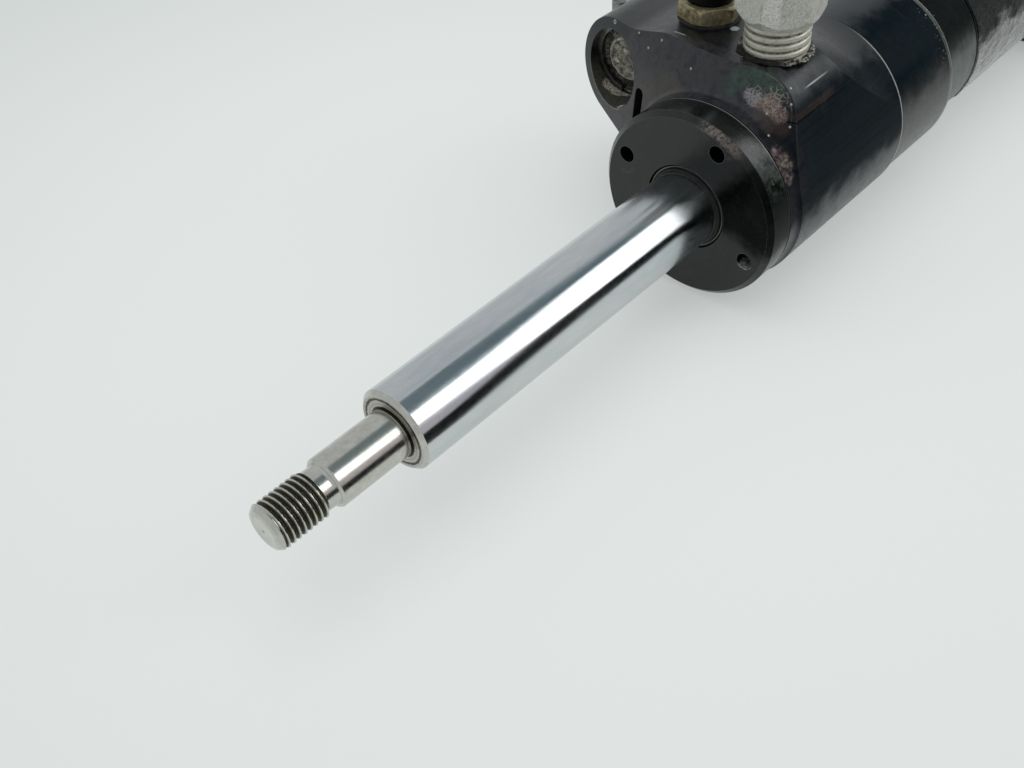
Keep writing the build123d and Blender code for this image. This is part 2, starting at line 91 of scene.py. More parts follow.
# ---- node materials
class Finish:
    """A procedural material, laid out in the shared frame's millimetres."""

    def __init__(self, name, **sockets):
        self.material = bpy.data.materials.new(name)
        self.material.use_nodes = True
        self.tree = self.material.node_tree
        self.tree.nodes.clear()
        self.colour = None
        self.shader = self.node("BsdfPrincipled")
        self.link(self.shader.outputs["BSDF"], self.node("OutputMaterial").inputs["Surface"])
        in_millimetres = self.node("VectorMath", operation="SCALE")
        self.link(self.node("TexCoord").outputs["Object"], in_millimetres.inputs[0])
        in_millimetres.inputs["Scale"].default_value = 1 / MM
        self.place = in_millimetres.outputs[0]
        for socket, value in sockets.items():
            self.shader.inputs[socket.replace("_", " ")].default_value = value

    def node(self, kind, **settings):
        node = self.tree.nodes.new("ShaderNode" + kind)
        for name, value in settings.items():
            setattr(node, name, value)
        return node

    def link(self, value, socket):
        """Link an output, or set a plain value, on an input socket."""
        if isinstance(value, bpy.types.NodeSocket):
            self.tree.links.new(value, socket)
        else:
            socket.default_value = value

    def math(self, operation, first, second=0.0):
        node = self.node("Math", operation=operation)
        self.link(first, node.inputs[0])
        self.link(second, node.inputs[1])
        return node.outputs[0]

    def times(self, *values):
        return functools.reduce(functools.partial(self.math, "MULTIPLY"), values)

    def plus(self, *values):
        return functools.reduce(functools.partial(self.math, "ADD"), values)

    def most(self, *values):
        return functools.reduce(functools.partial(self.math, "MAXIMUM"), values)

    def less(self, first, second):
        return self.math("SUBTRACT", first, second)

    def stretched(self, size, stretch=(1, 1, 1), vector=None):
        """Coordinates whose unit is `size` millimetres, times `stretch` along each axis."""
        mapping = self.node("Mapping")
        self.link(self.place if vector is None else vector, mapping.inputs["Vector"])
        mapping.inputs["Scale"].default_value = [1 / (size * s) for s in stretch]
        return mapping.outputs[0]

    def noise(self, size, detail=4.0, roughness=0.55, stretch=(1, 1, 1), vector=None, distortion=0.0):
        """Noise whose features are about `size` millimetres across, times `stretch` along each axis."""
        node = self.node("TexNoise")
        self.link(self.stretched(size, stretch, vector), node.inputs["Vector"])
        settings = {"Scale": 1.0, "Detail": detail, "Roughness": roughness, "Distortion": distortion}
        for setting, value in settings.items():
            node.inputs[setting].default_value = value
        return node.outputs["Fac"]

    def cells(self, size, feature="F1"):
        node = self.node("TexVoronoi", feature=feature)
        self.link(self.stretched(size), node.inputs["Vector"])
        node.inputs["Scale"].default_value = 1.0
        return node.outputs["Distance"]

    def levels(self, value, low, high, bottom=0.0, top=1.0):
        """Smooth step from bottom to top as value goes from low to high."""
        node = self.node("MapRange", interpolation_type="SMOOTHSTEP")
        self.link(value, node.inputs["Value"])
        for name, end in (("From Min", low), ("From Max", high), ("To Min", bottom), ("To Max", top)):
            node.inputs[name].default_value = end
        return node.outputs[0]

    def fade(self, mask, bottom, top):
        """From bottom to top as a mask goes from 0 to 1."""
        return self.levels(mask, 0.0, 1.0, bottom, top)

    def fall(self, value, low, high):
        """Smooth step down from 1 to 0 as value goes from low to high."""
        return self.levels(value, low, high, 1.0, 0.0)

    def band(self, value, low, high, soft):
        """1 where value lies between low and high, with soft ends."""
        return self.times(
            self.levels(value, low - soft, low + soft), self.fall(value, high - soft, high + soft)
        )

    def mix(self, factor, first, second):
        node = self.node("Mix", data_type="RGBA")
        self.link(factor, node.inputs[0])
        for colour, socket in ((first, node.inputs[6]), (second, node.inputs[7])):
            self.link(colour if isinstance(colour, bpy.types.NodeSocket) else (*colour, 1), socket)
        return node.outputs[2]

    def ramp(self, value, *stops):
        """Colours at positions along value: (position, (r, g, b)), ..."""
        node = self.node("ValToRGB")
        while len(node.color_ramp.elements) < len(stops):
            node.color_ramp.elements.new(1.0)
        for element, (position, colour) in zip(node.color_ramp.elements, stops):
            element.position = position
            element.color = (*colour, 1)
        self.link(value, node.inputs[0])
        return node.outputs[0]

    def xyz(self):
        node = self.node("SeparateXYZ")
        self.link(self.place, node.inputs[0])
        return node.outputs

    def turn(self, across, up):
        """Radius and angle (radians, from `across` towards `up`) of a point so far from an axis."""
        squared = self.plus(self.times(across, across), self.times(up, up))
        return self.math("SQRT", squared), self.math("ARCTAN2", up, across)

    def polar(self, y=0.0, z=0.0):
        """Radius and angle (from +Y towards +Z) about the line along X through (y, z)."""
        _, across, up = self.xyz()
        return self.turn(self.less(across, y), self.less(up, z))

    def around_adapter(self):
        """Radius and angle (from +X towards +Y) about the adapter's upright axis."""
        x, y, _ = self.xyz()
        return self.turn(self.less(x, adapter_x), self.less(y, adapter_y))

    def spot(self, centre, radius, soft, wobble=None):
        """1 inside a ball about a point, with a soft and, if wanted, ragged edge."""
        node = self.node("VectorMath", operation="DISTANCE")
        self.link(self.place, node.inputs[0])
        node.inputs[1].default_value = centre
        distance = node.outputs["Value"]
        if wobble is not None:
            distance = self.plus(distance, self.times(self.less(wobble, 0.5), radius))
        return self.fall(distance, radius - soft, radius + soft)

    def bevel(self, radius):
        node = self.node("Bevel", samples=4)
        node.inputs["Radius"].default_value = radius * MM
        return node.outputs[0]

    def edges(self, radius, low=0.02, high=0.25):
        """1 along convex and concave edges, within about `radius` of them."""
        dot = self.node("VectorMath", operation="DOT_PRODUCT")
        self.link(self.bevel(radius), dot.inputs[0])
        self.link(self.node("NewGeometry").outputs["Normal"], dot.inputs[1])
        return self.levels(self.less(1.0, dot.outputs["Value"]), low, high)

    def relief(self, height, depth, rounding=None):
        """Raise the surface by height (0 to 1) times depth, and soften hard edges."""
        node = self.node("Bump")
        node.inputs["Distance"].default_value = depth * MM
        self.link(height, node.inputs["Height"])
        if rounding:
            self.link(self.bevel(rounding), node.inputs["Normal"])
        self.link(node.outputs[0], self.shader.inputs["Normal"])

    def lay(self, paint, *masks):
        """Put a colour over what is there, as far as the product of the masks says."""
        self.colour = self.mix(self.times(*masks), self.colour, paint)

    def paint(self, roughness=None):
        """Finish the material with its colour so far."""
        self.link(self.colour, self.shader.inputs["Base Color"])
        if roughness is not None:
            self.link(roughness, self.shader.inputs["Roughness"])
        return self.material


def chrome_finish():
    """Hard chrome, ground round and round, with fine crossed scratches and a few long ones."""
    f = Finish("hard_chrome", Metallic=1.0, Anisotropic=0.85, Anisotropic_Rotation=0.25)
    f.link(f.node("Tangent", direction_type="RADIAL", axis="X").outputs[0], f.shader.inputs["Tangent"])
    grinding = f.noise(0.22, 3, 0.7, (1, 40, 40))
    cloud = f.noise(12, 4, 0.65, (2.4, 0.5, 0.5))
    mottle = f.noise(0.9, 6, 0.75)
    x, _, _ = f.xyz()
    near_end = f.levels(x, rod_tip - 64.7, rod_tip - 34.7)
    hatch = f.levels(f.noise(0.2, 3, 0.6, (0.6, 4, 4)), 0.54, 0.66)
    hatch = f.times(hatch, f.fade(near_end, 0.08, 0.4))
    scratch = f.levels(f.noise(0.35, 2, 0.5, (60, 1, 1)), 0.67, 0.73)
    f.colour = f.ramp(
        cloud, (0.32, (0.48, 0.515, 0.545)), (0.5, (0.56, 0.59, 0.605)), (0.68, (0.64, 0.655, 0.655))
    )
    f.lay((0.4, 0.42, 0.43), f.levels(mottle, 0.55, 0.75, 0.0, 0.25))
    f.lay((0.3, 0.31, 0.32), scratch, 0.3)
    f.lay((0.38, 0.43, 0.47), hatch)
    rough = f.levels(f.plus(cloud, f.times(mottle, 0.6)), 0.5, 1.1, 0.13, 0.22)
    f.relief(f.plus(grinding, f.times(mottle, 0.8)), 0.0016)
    return f.paint(rough)


def turned_steel_finish(name, dirt_low, dirt_high, line_size=0.12):
    """Bare turned steel with tool lines; grime collects below a given radius about the axis."""
    f = Finish(name, Metallic=1.0)
    radius, _ = f.polar()
    lines = f.noise(line_size, 2, 0.6, (1, 60, 60))
    stain = f.noise(1.8, 4, 0.6)
    speck = f.levels(f.noise(0.35, 3, 0.6), 0.7, 0.78)
    ticks = f.levels(f.noise(0.16, 3, 0.6, (1, 5, 5)), 0.56, 0.7, 0.0, 0.45)
    f.colour = f.ramp(stain, (0.3, (0.49, 0.485, 0.44)), (0.7, (0.6, 0.595, 0.55)))
    f.lay((0.38, 0.375, 0.33), ticks)
    f.lay((0.2, 0.18, 0.15), speck, 0.6)
    grime = f.fall(radius, dirt_low, dirt_high)
    grime = f.times(grime, f.levels(f.noise(0.25, 4, 0.7), 0.25, 0.6, 0.8, 1.0))
    flecks = f.noise(0.16, 4, 0.7)
    dirt = f.ramp(
        flecks, (0.4, (0.02, 0.018, 0.009)), (0.56, (0.07, 0.064, 0.036)), (0.68, (0.24, 0.225, 0.15))
    )
    f.lay(dirt, grime)
    rough = f.levels(stain, 0.25, 0.8, 0.24, 0.17)
    rough = f.plus(rough, f.times(grime, 0.4))
    f.relief(lines, 0.003)
    return f.paint(rough)


def shoulder_finish():
    """The rod's annular shoulder: thin turned rings, a dark ring, and grime round the spigot's root."""
    f = Finish("turned_shoulder", Metallic=1.0)
    radius, _ = f.polar()
    outwards = f.node("CombineXYZ")
    f.link(radius, outwards.inputs[0])
    rings = f.noise(0.16, 2, 0.6, vector=outwards.outputs[0])
    stain = f.noise(0.7, 5, 0.75)
    wander = f.plus(radius, f.times(f.less(stain, 0.5), 0.8))
    f.colour = f.ramp(rings, (0.35, (0.34, 0.33, 0.31)), (0.65, (0.58, 0.57, 0.55)))
    f.lay((0.055, 0.05, 0.035), f.band(wander, 7.0, 7.55, 0.12))
    f.lay((0.36, 0.34, 0.24), f.band(wander, 6.1, 6.5, 0.15))
    f.lay((0.02, 0.018, 0.013), f.fall(wander, 5.65, 5.85))
    f.relief(f.plus(rings, stain), 0.03)
    return f.paint(f.levels(stain, 0.3, 0.7, 0.24, 0.42))


def shade_side(f, lower, upper, dim=0.02, full=0.42, soft=0.22):
    """Less shine on the oily +Y side above the angle `lower`, coming back towards the top."""
    _, angle = f.polar()
    cloud = f.noise(7, 4, 0.6)
    wander = f.plus(angle, f.times(f.less(cloud, 0.5), 0.5))
    oily = f.band(wander, lower, upper, soft)
    f.link(f.fade(oily, full, dim), f.shader.inputs["Specular IOR Level"])
    return oily


def black_oxide(name, dark, light, tint, rough, edge=0.3, worn=(0.16, 0.165, 0.155), bare=0.8):
    """Black oxide over machined steel: cloudy, faintly coloured, rubbed to grey along its edges.

    Returns the unfinished Finish with its roughness and height, for extra marks on top.
    """
    f = Finish(name, Specular_IOR_Level=0.42)
    cloud = f.noise(8, 5, 0.65)
    blotch = f.noise(2.6, 6, 0.72, distortion=0.7)
    grain = f.noise(0.22, 3, 0.7)
    f.colour = f.ramp(cloud, (0.34, dark), (0.68, light))
    f.lay(tint, f.levels(blotch, 0.5, 0.68, 0.0, 0.7))
    specks = f.levels(f.noise(0.5, 2, 0.4), 0.805, 0.835)
    wear = f.edges(edge)
    ragged = f.levels(f.plus(f.noise(0.7, 4, 0.7), f.times(wear, 0.55)), 0.62, 0.95)
    wear = f.times(wear, ragged, bare)
    f.lay(worn, wear)
    f.lay((0.26, 0.27, 0.26), specks)
    texture = f.plus(f.times(blotch, 0.65), f.times(grain, 0.35))
    roughness = f.levels(texture, 0.35, 0.65, *rough)
    height = f.plus(f.times(grain, 0.6), f.times(blotch, 0.4))
    return f, roughness, height


def gland_finish():
    f, roughness, height = black_oxide(
        "gland_black", (0.001, 0.0018, 0.0016), (0.004, 0.0055, 0.005), (0.009, 0.008, 0.0065),
        (0.18, 0.3),
    )
    shade_side(f, -0.20, 0.80, 0.05, 0.46)
    x, _, _ = f.xyz()
    radius, angle = f.polar()
    mottle = f.noise(0.8, 5, 0.75)
    cloud = f.noise(2.6, 5, 0.7)
    # Rubbed brown and silver mottling on the rim's chamfer, and greenish patches on the rim behind it
    f.lay(
        f.ramp(
            mottle, (0.4, (0.06, 0.04, 0.034)), (0.6, (0.165, 0.145, 0.13)), (0.72, (0.28, 0.27, 0.25))
        ),
        f.levels(x, gland_face - 1.4, gland_face - 1.0), f.band(radius, 21.3, 23.3, 0.25),
        f.band(angle, 0.98, 1.42, 0.1), f.levels(mottle, 0.36, 0.56), 0.85,
    )
    f.lay(
        f.ramp(mottle, (0.4, (0.022, 0.034, 0.026)), (0.65, (0.075, 0.082, 0.07))),
        f.fall(x, gland_face - 1.6, gland_face - 1.2), f.band(angle, 0.45, 0.98, 0.12),
        f.levels(cloud, 0.42, 0.62, 0.0, 0.9),
    )
    # Painted highlight: a bright line along the rim's rear edge
    f.lay(
        (0.17, 0.17, 0.16), f.band(x, gland_face - 7.1, gland_face - 6.85, 0.08),
        f.levels(radius, 22.9, 23.0), f.band(angle, 0.7, 2.2, 0.25),
    )
    # Brown smudge beside the upper right hole
    f.lay(
        (0.07, 0.055, 0.045), f.spot((gland_face, 9.8, 19.0), 2.6, 0.9, mottle),
        f.levels(mottle, 0.42, 0.6, 0.0, 0.7),
    )
    # Thin arcs scuffed by the pin spanner below the left-hand hole
    hole_radius, hole_angle = f.polar(-17.4, 5.6)
    arcs = f.most(f.band(hole_radius, 3.05, 3.15, 0.05), f.band(hole_radius, 2.5, 2.56, 0.05))
    f.lay((0.12, 0.12, 0.115), arcs, f.band(hole_angle, -1.9, -0.3, 0.2), 0.5)
    # Bright burr at the lower right spanner hole
    burr_radius, burr_angle = f.polar(16.76, -7.46)
    f.lay(
        (0.35, 0.35, 0.34), f.band(burr_radius, 1.95, 2.15, 0.06), f.band(burr_angle, -2.4, -0.4, 0.3),
        f.levels(mottle, 0.35, 0.6),
    )
    f.relief(height, 0.015, 0.12)
    return f.paint(roughness)


def head_finish():
    f, roughness, height = black_oxide(
        "head_black", (0.0018, 0.0036, 0.0052), (0.006, 0.009, 0.012), (0.014, 0.0125, 0.0125),
        (0.24, 0.38),
    )
    oily = shade_side(f, -0.02, 1.02)
    x, y, z = f.xyz()
    radius, angle = f.polar()
    front = f.levels(x, 187.0, 188.0)
    fine = f.noise(0.45, 4, 0.7)
    crumble = f.noise(1.5, 5, 0.75)
    blots = f.noise(3.4, 6, 0.7, distortion=1.0)

    def spots(softness, *places):
        """Ragged patches: (x, y, z, radius) in millimetres."""
        return f.most(*[f.spot(place[:3], place[3], softness, crumble) for place in places])

    # Blue-violet and bronze tempering colours across the turned front, with darker blots
    temper = f.ramp(
        blots, (0.34, (0.0040, 0.0055, 0.0095)), (0.45, (0.0150, 0.0175, 0.0230)),
        (0.54, (0.0300, 0.0285, 0.0300)), (0.64, (0.0120, 0.0130, 0.0210)),
    )
    f.lay(temper, front, f.fade(oily, 0.95, 0.35))
    brown = spots(2.5, (193.3, -13.8, 19.5, 4.5), (192.6, -21.4, 16.5, 4.0), (190.5, -26, 13, 3.5))
    f.lay((0.052, 0.044, 0.038), brown, f.levels(blots, 0.35, 0.6, 0.25, 0.8))
    # Rubbed places between the port face and the gland: green, brown, pink and lilac
    green = spots(
        0.7, (191.5, 8, 28.8, 3.2), (192, 3.4, 27.8, 2.4), (191.2, 12.3, 27.4, 2.0),
        (192.8, 2.0, 25.0, 1.6),
    )
    green_paint = f.ramp(crumble, (0.38, (0.006, 0.020, 0.015)), (0.62, (0.034, 0.062, 0.047)))
    f.lay(green_paint, green, front, 0.9)
    brown_low = spots(0.8, (193.2, 13.2, 21.4, 2.4), (193, 15.4, 20.2, 1.6), (193.8, 10.2, 22.6, 1.6))
    f.lay((0.044, 0.031, 0.029), brown_low, front, 0.8)
    pink = spots(0.6, (192.5, 11.8, 24.4, 2.3), (192.5, 14.2, 22.8, 1.8), (192.8, 9.2, 24.2, 1.5))
    pink = f.times(pink, front, f.levels(crumble, 0.34, 0.5, 0.25, 1.0))
    pink_paint = f.ramp(
        fine, (0.38, (0.06, 0.04, 0.04)), (0.52, (0.185, 0.13, 0.115)), (0.66, (0.3, 0.235, 0.2))
    )
    f.lay(pink_paint, pink, 0.9)
    lilac = spots(0.5, (192.9, 6.8, 25.1, 1.3), (192.7, 8.6, 25.3, 1.0), (193.2, 7.6, 23.9, 0.9))
    lilac = f.times(lilac, front, f.levels(fine, 0.4, 0.52, 0.15, 1.0))
    lilac_paint = f.ramp(fine, (0.40, (0.115, 0.115, 0.135)), (0.6, (0.30, 0.30, 0.34)))
    f.lay(lilac_paint, lilac, 0.9)
    net = f.fall(f.cells(1.15, feature="DISTANCE_TO_EDGE"), 0.03, 0.09)
    worn = spots(0.6, (192.2, 12.6, 25.2, 3.3), (192.8, 7.6, 25.4, 2.4))
    f.lay((0.27, 0.245, 0.2), net, worn, front, f.levels(crumble, 0.4, 0.55), 0.85)
    # Painted highlight: a thin light arc along the front edge of the flank's rounded corner
    arc_radius, arc_angle = f.polar(8, 21)
    f.lay(
        (0.13, 0.13, 0.115), f.band(arc_radius, 8.95, 9.12, 0.09), f.band(arc_angle, 0.15, 1.5, 0.3),
        front, f.levels(crumble, 0.38, 0.52, 0.15, 0.8),
    )
    # Brown, violet and silver patch on the boss, next to the gland's rim
    boss = spots(0.6, (196.2, 18.4, 13.9, 2.6), (196.0, 16.9, 16.0, 1.7), (196.1, 20.0, 11.2, 1.5))
    boss = f.times(boss, f.fall(radius, 23.6, 24.4))
    boss_paint = f.ramp(
        f.noise(1.1, 4, 0.6), (0.38, (0.016, 0.014, 0.03)), (0.5, (0.085, 0.062, 0.055)),
        (0.64, (0.2, 0.175, 0.15)),
    )
    f.lay(boss_paint, boss, 0.9)
    # Fine lines that the mill left along the flank, a brown band above a dark line, and a painted
    # highlight along the top corner's ridge
    milled = f.noise(0.5, 3, 0.65, (90, 1, 1))
    flank = f.times(f.levels(y, 14, 16.5), f.fall(x, 190.2, 191.6))
    f.lay(f.ramp(milled, (0.35, (0.0022, 0.0052, 0.0075)), (0.62, (0.007, 0.0125, 0.0165))), flank, 0.75)
    side = f.levels(y, 15.5, 16.5)
    f.lay(
        (0.036, 0.024, 0.022), f.band(z, 22.1, 23.6, 0.5), side, f.band(x, 177, 192.5, 2.0),
        f.levels(milled, 0.3, 0.6, 0.3, 0.9),
    )
    f.lay((0.0008, 0.001, 0.0012), f.band(z, 21.7, 21.95, 0.08), side, f.levels(x, 170, 176))
    # Painted highlight: a bright line along the ridge of the flank's top corner
    f.lay(
        (0.36, 0.38, 0.37), f.band(z, 26.6, 26.85, 0.09), f.levels(y, 12, 13),
        f.band(x, 177.5, 185.2, 1.4), f.levels(x, 174, 184, 0.25, 0.95),
    )
    # Oily black stain and pale chips round the adapter's foot
    foot = f.spot((adapter_x, adapter_y, port_face), 9.6, 0.8, crumble)
    top = f.levels(z, port_face - 0.2, port_face - 0.05)
    foot = f.times(foot, top)
    f.lay((0.0016, 0.0018, 0.0017), foot, 0.9)
    chips = spots(
        0.3, (177.4, 12.9, port_face, 1.5), (180.4, 13.6, port_face, 1.0), (174.0, 12.6, port_face, 0.9),
        (187.6, 1.2, port_face, 0.8),
    )
    f.lay((0.32, 0.31, 0.26), chips, top, f.levels(fine, 0.5, 0.6))
    flake = f.spot((178.7, -7.3, port_face), 1.0, 0.2, fine)
    sliver = f.times(f.spot((187.6, -15.8, port_face), 1.5, 0.2), f.band(x, 187.5, 187.75, 0.08))
    f.lay((0.38, 0.41, 0.41), f.most(flake, sliver), 0.85)
    # White specks and a small ring-shaped scar on the lug's mouth
    specks = (
        (189.7, 14.6, 28.0), (191.3, 16.0, 25.4), (192.4, 17.0, 20.9), (194.9, 13.6, 18.8),
        (193.1, 11.5, 22.5), (189.6, -23.0, 25.5), (188.1, -26.9, 27.4), (189.6, -19.3, 28.5),
        (192.2, -9.2, 25.9),
    )
    dots = [f.spot(place, 0.26, 0.1) for place in specks]
    scar = f.less(f.spot((185.7, -35.9, 26.5), 0.5, 0.08), f.spot((185.7, -35.9, 26.5), 0.27, 0.08))
    f.lay((0.42, 0.43, 0.42), f.most(*dots, scar), 0.85)
    # Inside the lug: the wall is painted near-black as painted shade of the deep bore, with a pale crust
    # on its lower side
    lug_radius, lug_angle = f.polar(lug_y, lug_z)
    inside = f.fall(lug_radius, 9.15, 9.3)
    f.lay((0.0008, 0.0008, 0.0007), inside)
    # Painted highlight: a bright line along the rear edge of the head's cylinder
    f.lay(
        (0.33, 0.33, 0.3), f.band(x, head_rear + 0.55, head_rear + 0.95, 0.07),
        f.levels(radius, 23.2, 23.5), f.band(angle, -0.9, 1.15, 0.25),
        f.levels(fine, 0.3, 0.5, 0.5, 0.95),
    )
    crust = spots(
        0.5, (182.8, -37.1, 6.7, 2.2), (183.3, -39.6, 7.5, 1.8), (181.9, -34.6, 6.3, 1.8),
        (189.3, -31.0, 7.2, 1.0),
    )
    crust = f.times(crust, inside, f.levels(fine, 0.4, 0.5))
    crust_paint = f.ramp(
        crumble, (0.38, (0.16, 0.15, 0.17)), (0.48, (0.6, 0.52, 0.38)), (0.6, (0.85, 0.83, 0.78))
    )
    f.lay(crust_paint, crust)
    # Painted highlight along the lower edge of the lug's mouth
    f.lay(
        (0.17, 0.165, 0.14), f.band(lug_radius, 9.1, 9.4, 0.1), f.band(lug_angle, -2.9, -0.9, 0.3),
        f.levels(fine, 0.35, 0.55, 0.2, 0.8),
    )
    marks = f.most(pink, lilac, boss, crust)
    roughness = f.plus(roughness, f.times(marks, 0.2))
    roughness = f.less(roughness, f.times(foot, 0.12))
    height = f.plus(height, f.times(marks, 1.2), f.times(milled, 0.3))
    f.relief(height, 0.02, 0.25)
    return f.paint(roughness)


def plain_oxide_finish(name, dark, light, tint, rough, lower_side_colour, lines=0.35, edge=0.3):
    f, roughness, height = black_oxide(name, dark, light, tint, rough, edge)
    x, _, _ = f.xyz()
    _, angle = f.polar()
    turned = f.noise(0.3, 3, 0.6, (1, 30, 30))
    scuffs = f.levels(f.noise(0.9, 3, 0.5, (1, 14, 14)), 0.66, 0.76)
    smear = f.noise(5, 5, 0.7, (0.5, 1.5, 1.5))
    # The lower side is made paler with a given colour; above it the steel is oily
    shade_side(f, 0.28, 1.35)
    lower = f.times(f.fall(angle, 0.2, 0.62), f.levels(smear, 0.3, 0.65, 0.55, 1.0))
    f.lay(lower_side_colour, lower, 0.9)
    f.lay((0.05, 0.05, 0.048), scuffs, 0.3)
    # Painted highlight on the collar's rear chamfer: a paler band, and a bright line at its edge
    f.lay(
        f.ramp(smear, (0.35, (0.06, 0.066, 0.06)), (0.65, (0.13, 0.135, 0.122))),
        f.band(x, collar_rear + 1.3, collar_rear + 2.5, 0.1), f.levels(smear, 0.2, 0.5, 0.55, 0.95),
    )
    f.lay(
        (0.3, 0.31, 0.28), f.band(x, collar_rear + 1.25, collar_rear + 1.45, 0.05),
        f.levels(smear, 0.2, 0.5, 0.5, 0.9),
    )
    # Dust that has settled beside the collar's rear edge
    f.lay(
        (0.42, 0.44, 0.44), f.levels(f.noise(0.55, 2, 0.5), 0.66, 0.72),
        f.band(x, collar_rear - 2.7, collar_rear + 5.3, 2.5), f.band(angle, 0.45, 1.05, 0.15), 0.8,
    )
    height = f.plus(height, f.times(turned, lines))
    f.relief(height, 0.015, 0.2)
    return f.paint(roughness)


def adapter_finish():
    """Pale grey plating with a sandy grain, rubbed at its corners and brownish in its hollows."""
    f = Finish("pale_plating", Metallic=0.45)
    sand = f.noise(0.34, 4, 0.75)
    pits = f.cells(0.7)
    stain = f.noise(2.8, 5, 0.7)
    _, turn = f.around_adapter()
    f.colour = f.ramp(
        sand, (0.28, (0.25, 0.245, 0.215)), (0.5, (0.46, 0.455, 0.415)), (0.72, (0.68, 0.68, 0.64))
    )
    f.lay((0.25, 0.235, 0.18), f.levels(stain, 0.5, 0.7, 0.0, 0.55))
    # Painted highlight: the hex's sides between these angles round its axis are painted pale, and their
    # grain is raised more
    lit_and_dented_facet = f.band(turn, 0.16, 0.56, 0.02)
    f.lay((0.72, 0.72, 0.69), lit_and_dented_facet, f.levels(sand, 0.4, 0.6, 0.15, 0.75))
    wear = f.edges(0.45, 0.01, 0.1)
    f.lay((0.74, 0.72, 0.65), wear, f.levels(stain, 0.3, 0.5, 0.35, 0.9))
    height = f.plus(f.times(sand, f.plus(0.6, lit_and_dented_facet)), f.times(pits, 0.5))
    f.relief(height, 0.09, 0.15)
    return f.paint(f.levels(sand, 0.3, 0.7, 0.6, 0.42))


def adapter_thread_finish(root, crest):
    """The same plating on the thread: crests rubbed clean, olive-brown dirt in the roots."""
    f = Finish("pale_plating_thread", Metallic=0.6)
    _, _, z = f.xyz()
    radius, _ = f.around_adapter()
    stain = f.noise(1.2, 5, 0.7)
    sand = f.noise(0.25, 3, 0.7)
    f.colour = f.ramp(sand, (0.3, (0.4, 0.385, 0.325)), (0.7, (0.62, 0.61, 0.55)))
    f.lay((0.26, 0.235, 0.165), f.levels(stain, 0.5, 0.7, 0.0, 0.6))
    wander = f.plus(radius, f.times(f.less(stain, 0.5), 0.5))
    dirt = f.fall(wander, root, crest)
    low_turn = f.fall(f.plus(z, f.times(stain, 1.2)), 31.2, 32.4)
    dirt = f.most(dirt, f.times(low_turn, 0.8))
    f.lay(f.ramp(stain, (0.35, (0.05, 0.038, 0.022)), (0.65, (0.24, 0.21, 0.15))), dirt)
    f.relief(sand, 0.05)
    return f.paint(f.levels(sand, 0.3, 0.7, 0.36, 0.5))


def brass_finish(name, clean, dull, grime):
    f = Finish(name, Metallic=0.75)
    stain = f.noise(1.5, 6, 0.75)
    grain = f.noise(0.2, 3, 0.7)
    f.colour = f.ramp(stain, (0.28, grime), (0.48, dull), (0.72, clean))
    f.lay(clean, f.edges(0.35), 0.7)
    f.relief(f.plus(grain, stain), 0.03, 0.2)
    return f.paint(f.levels(stain, 0.3, 0.7, 0.6, 0.36))


def metal_finish(name, base, dark, rough, grain_size=0.3, metallic=1.0):
    """Plain machined metal with a brushed grain, stains and brighter edges."""
    f = Finish(name, Metallic=metallic)
    stain = f.noise(1.8, 5, 0.65)
    grain = f.noise(grain_size, 3, 0.7, (6, 1, 1))
    f.colour = f.ramp(stain, (0.3, dark), (0.65, base))
    f.lay([min(1.0, c * 1.5) for c in base], f.edges(0.2), 0.5)
    f.relief(f.plus(grain, f.times(stain, 0.4)), 0.01, 0.1)
    return f.paint(f.levels(grain, 0.3, 0.7, *rough))


def moulded_finish(name, base, light, rough, grain_size=0.25, depth=0.02):
    """Moulded polymer or rubber: a faint grain, dust in patches and paler edges."""
    f = Finish(name)
    grain = f.noise(grain_size, 3, 0.6)
    dust = f.noise(2.5, 5, 0.7)
    f.colour = f.mix(f.levels(dust, 0.5, 0.75, 0.0, 0.6), base, light)
    f.lay(light, f.edges(0.2), 0.5)
    f.relief(grain, depth, 0.1)
    return f.paint(f.levels(dust, 0.3, 0.7, *rough))


def film_finish():
    """Clear film over black steel: nearly black on its upper side, milky grey towards its lower side,
    with painted highlights on flecks and creases.
    """
    f = Finish("clear_film", Coat_Roughness=0.06)
    _, angle = f.polar()
    crease = f.noise(1.0, 6, 0.75, (3.0, 1, 1), distortion=1.6)
    fleck = f.noise(0.45, 4, 0.7, (1.6, 1, 1))
    haze = f.noise(6, 4, 0.6, (2.2, 1, 1))
    low_side = f.fall(f.plus(angle, f.times(haze, 0.9)), 0.5, 0.85)
    f.colour = f.mix(
        low_side, (0.0035, 0.004, 0.004),
        f.ramp(haze, (0.35, (0.055, 0.056, 0.054)), (0.65, (0.13, 0.13, 0.125))),
    )
    # Painted highlights: bright flecks in the haze, and lines along the creases, mostly on the lower side
    fleck_glint = f.times(f.levels(fleck, 0.55, 0.68), f.band(haze, 0.42, 0.62, 0.06))
    fleck_glint = f.times(fleck_glint, f.fade(low_side, 0.06, 0.95))
    crease_glint = f.times(f.levels(crease, 0.6, 0.7), f.fade(low_side, 0.1, 0.6))
    f.lay((0.46, 0.47, 0.46), f.most(fleck_glint, crease_glint))
    f.link(f.fade(low_side, 0.06, 0.5), f.shader.inputs["Specular IOR Level"])
    f.link(f.fade(low_side, 0.02, 0.7), f.shader.inputs["Coat Weight"])
    f.relief(f.plus(crease, f.times(fleck, 0.4)), 0.16)
    return f.paint(f.levels(crease, 0.35, 0.7, 0.14, 0.32))


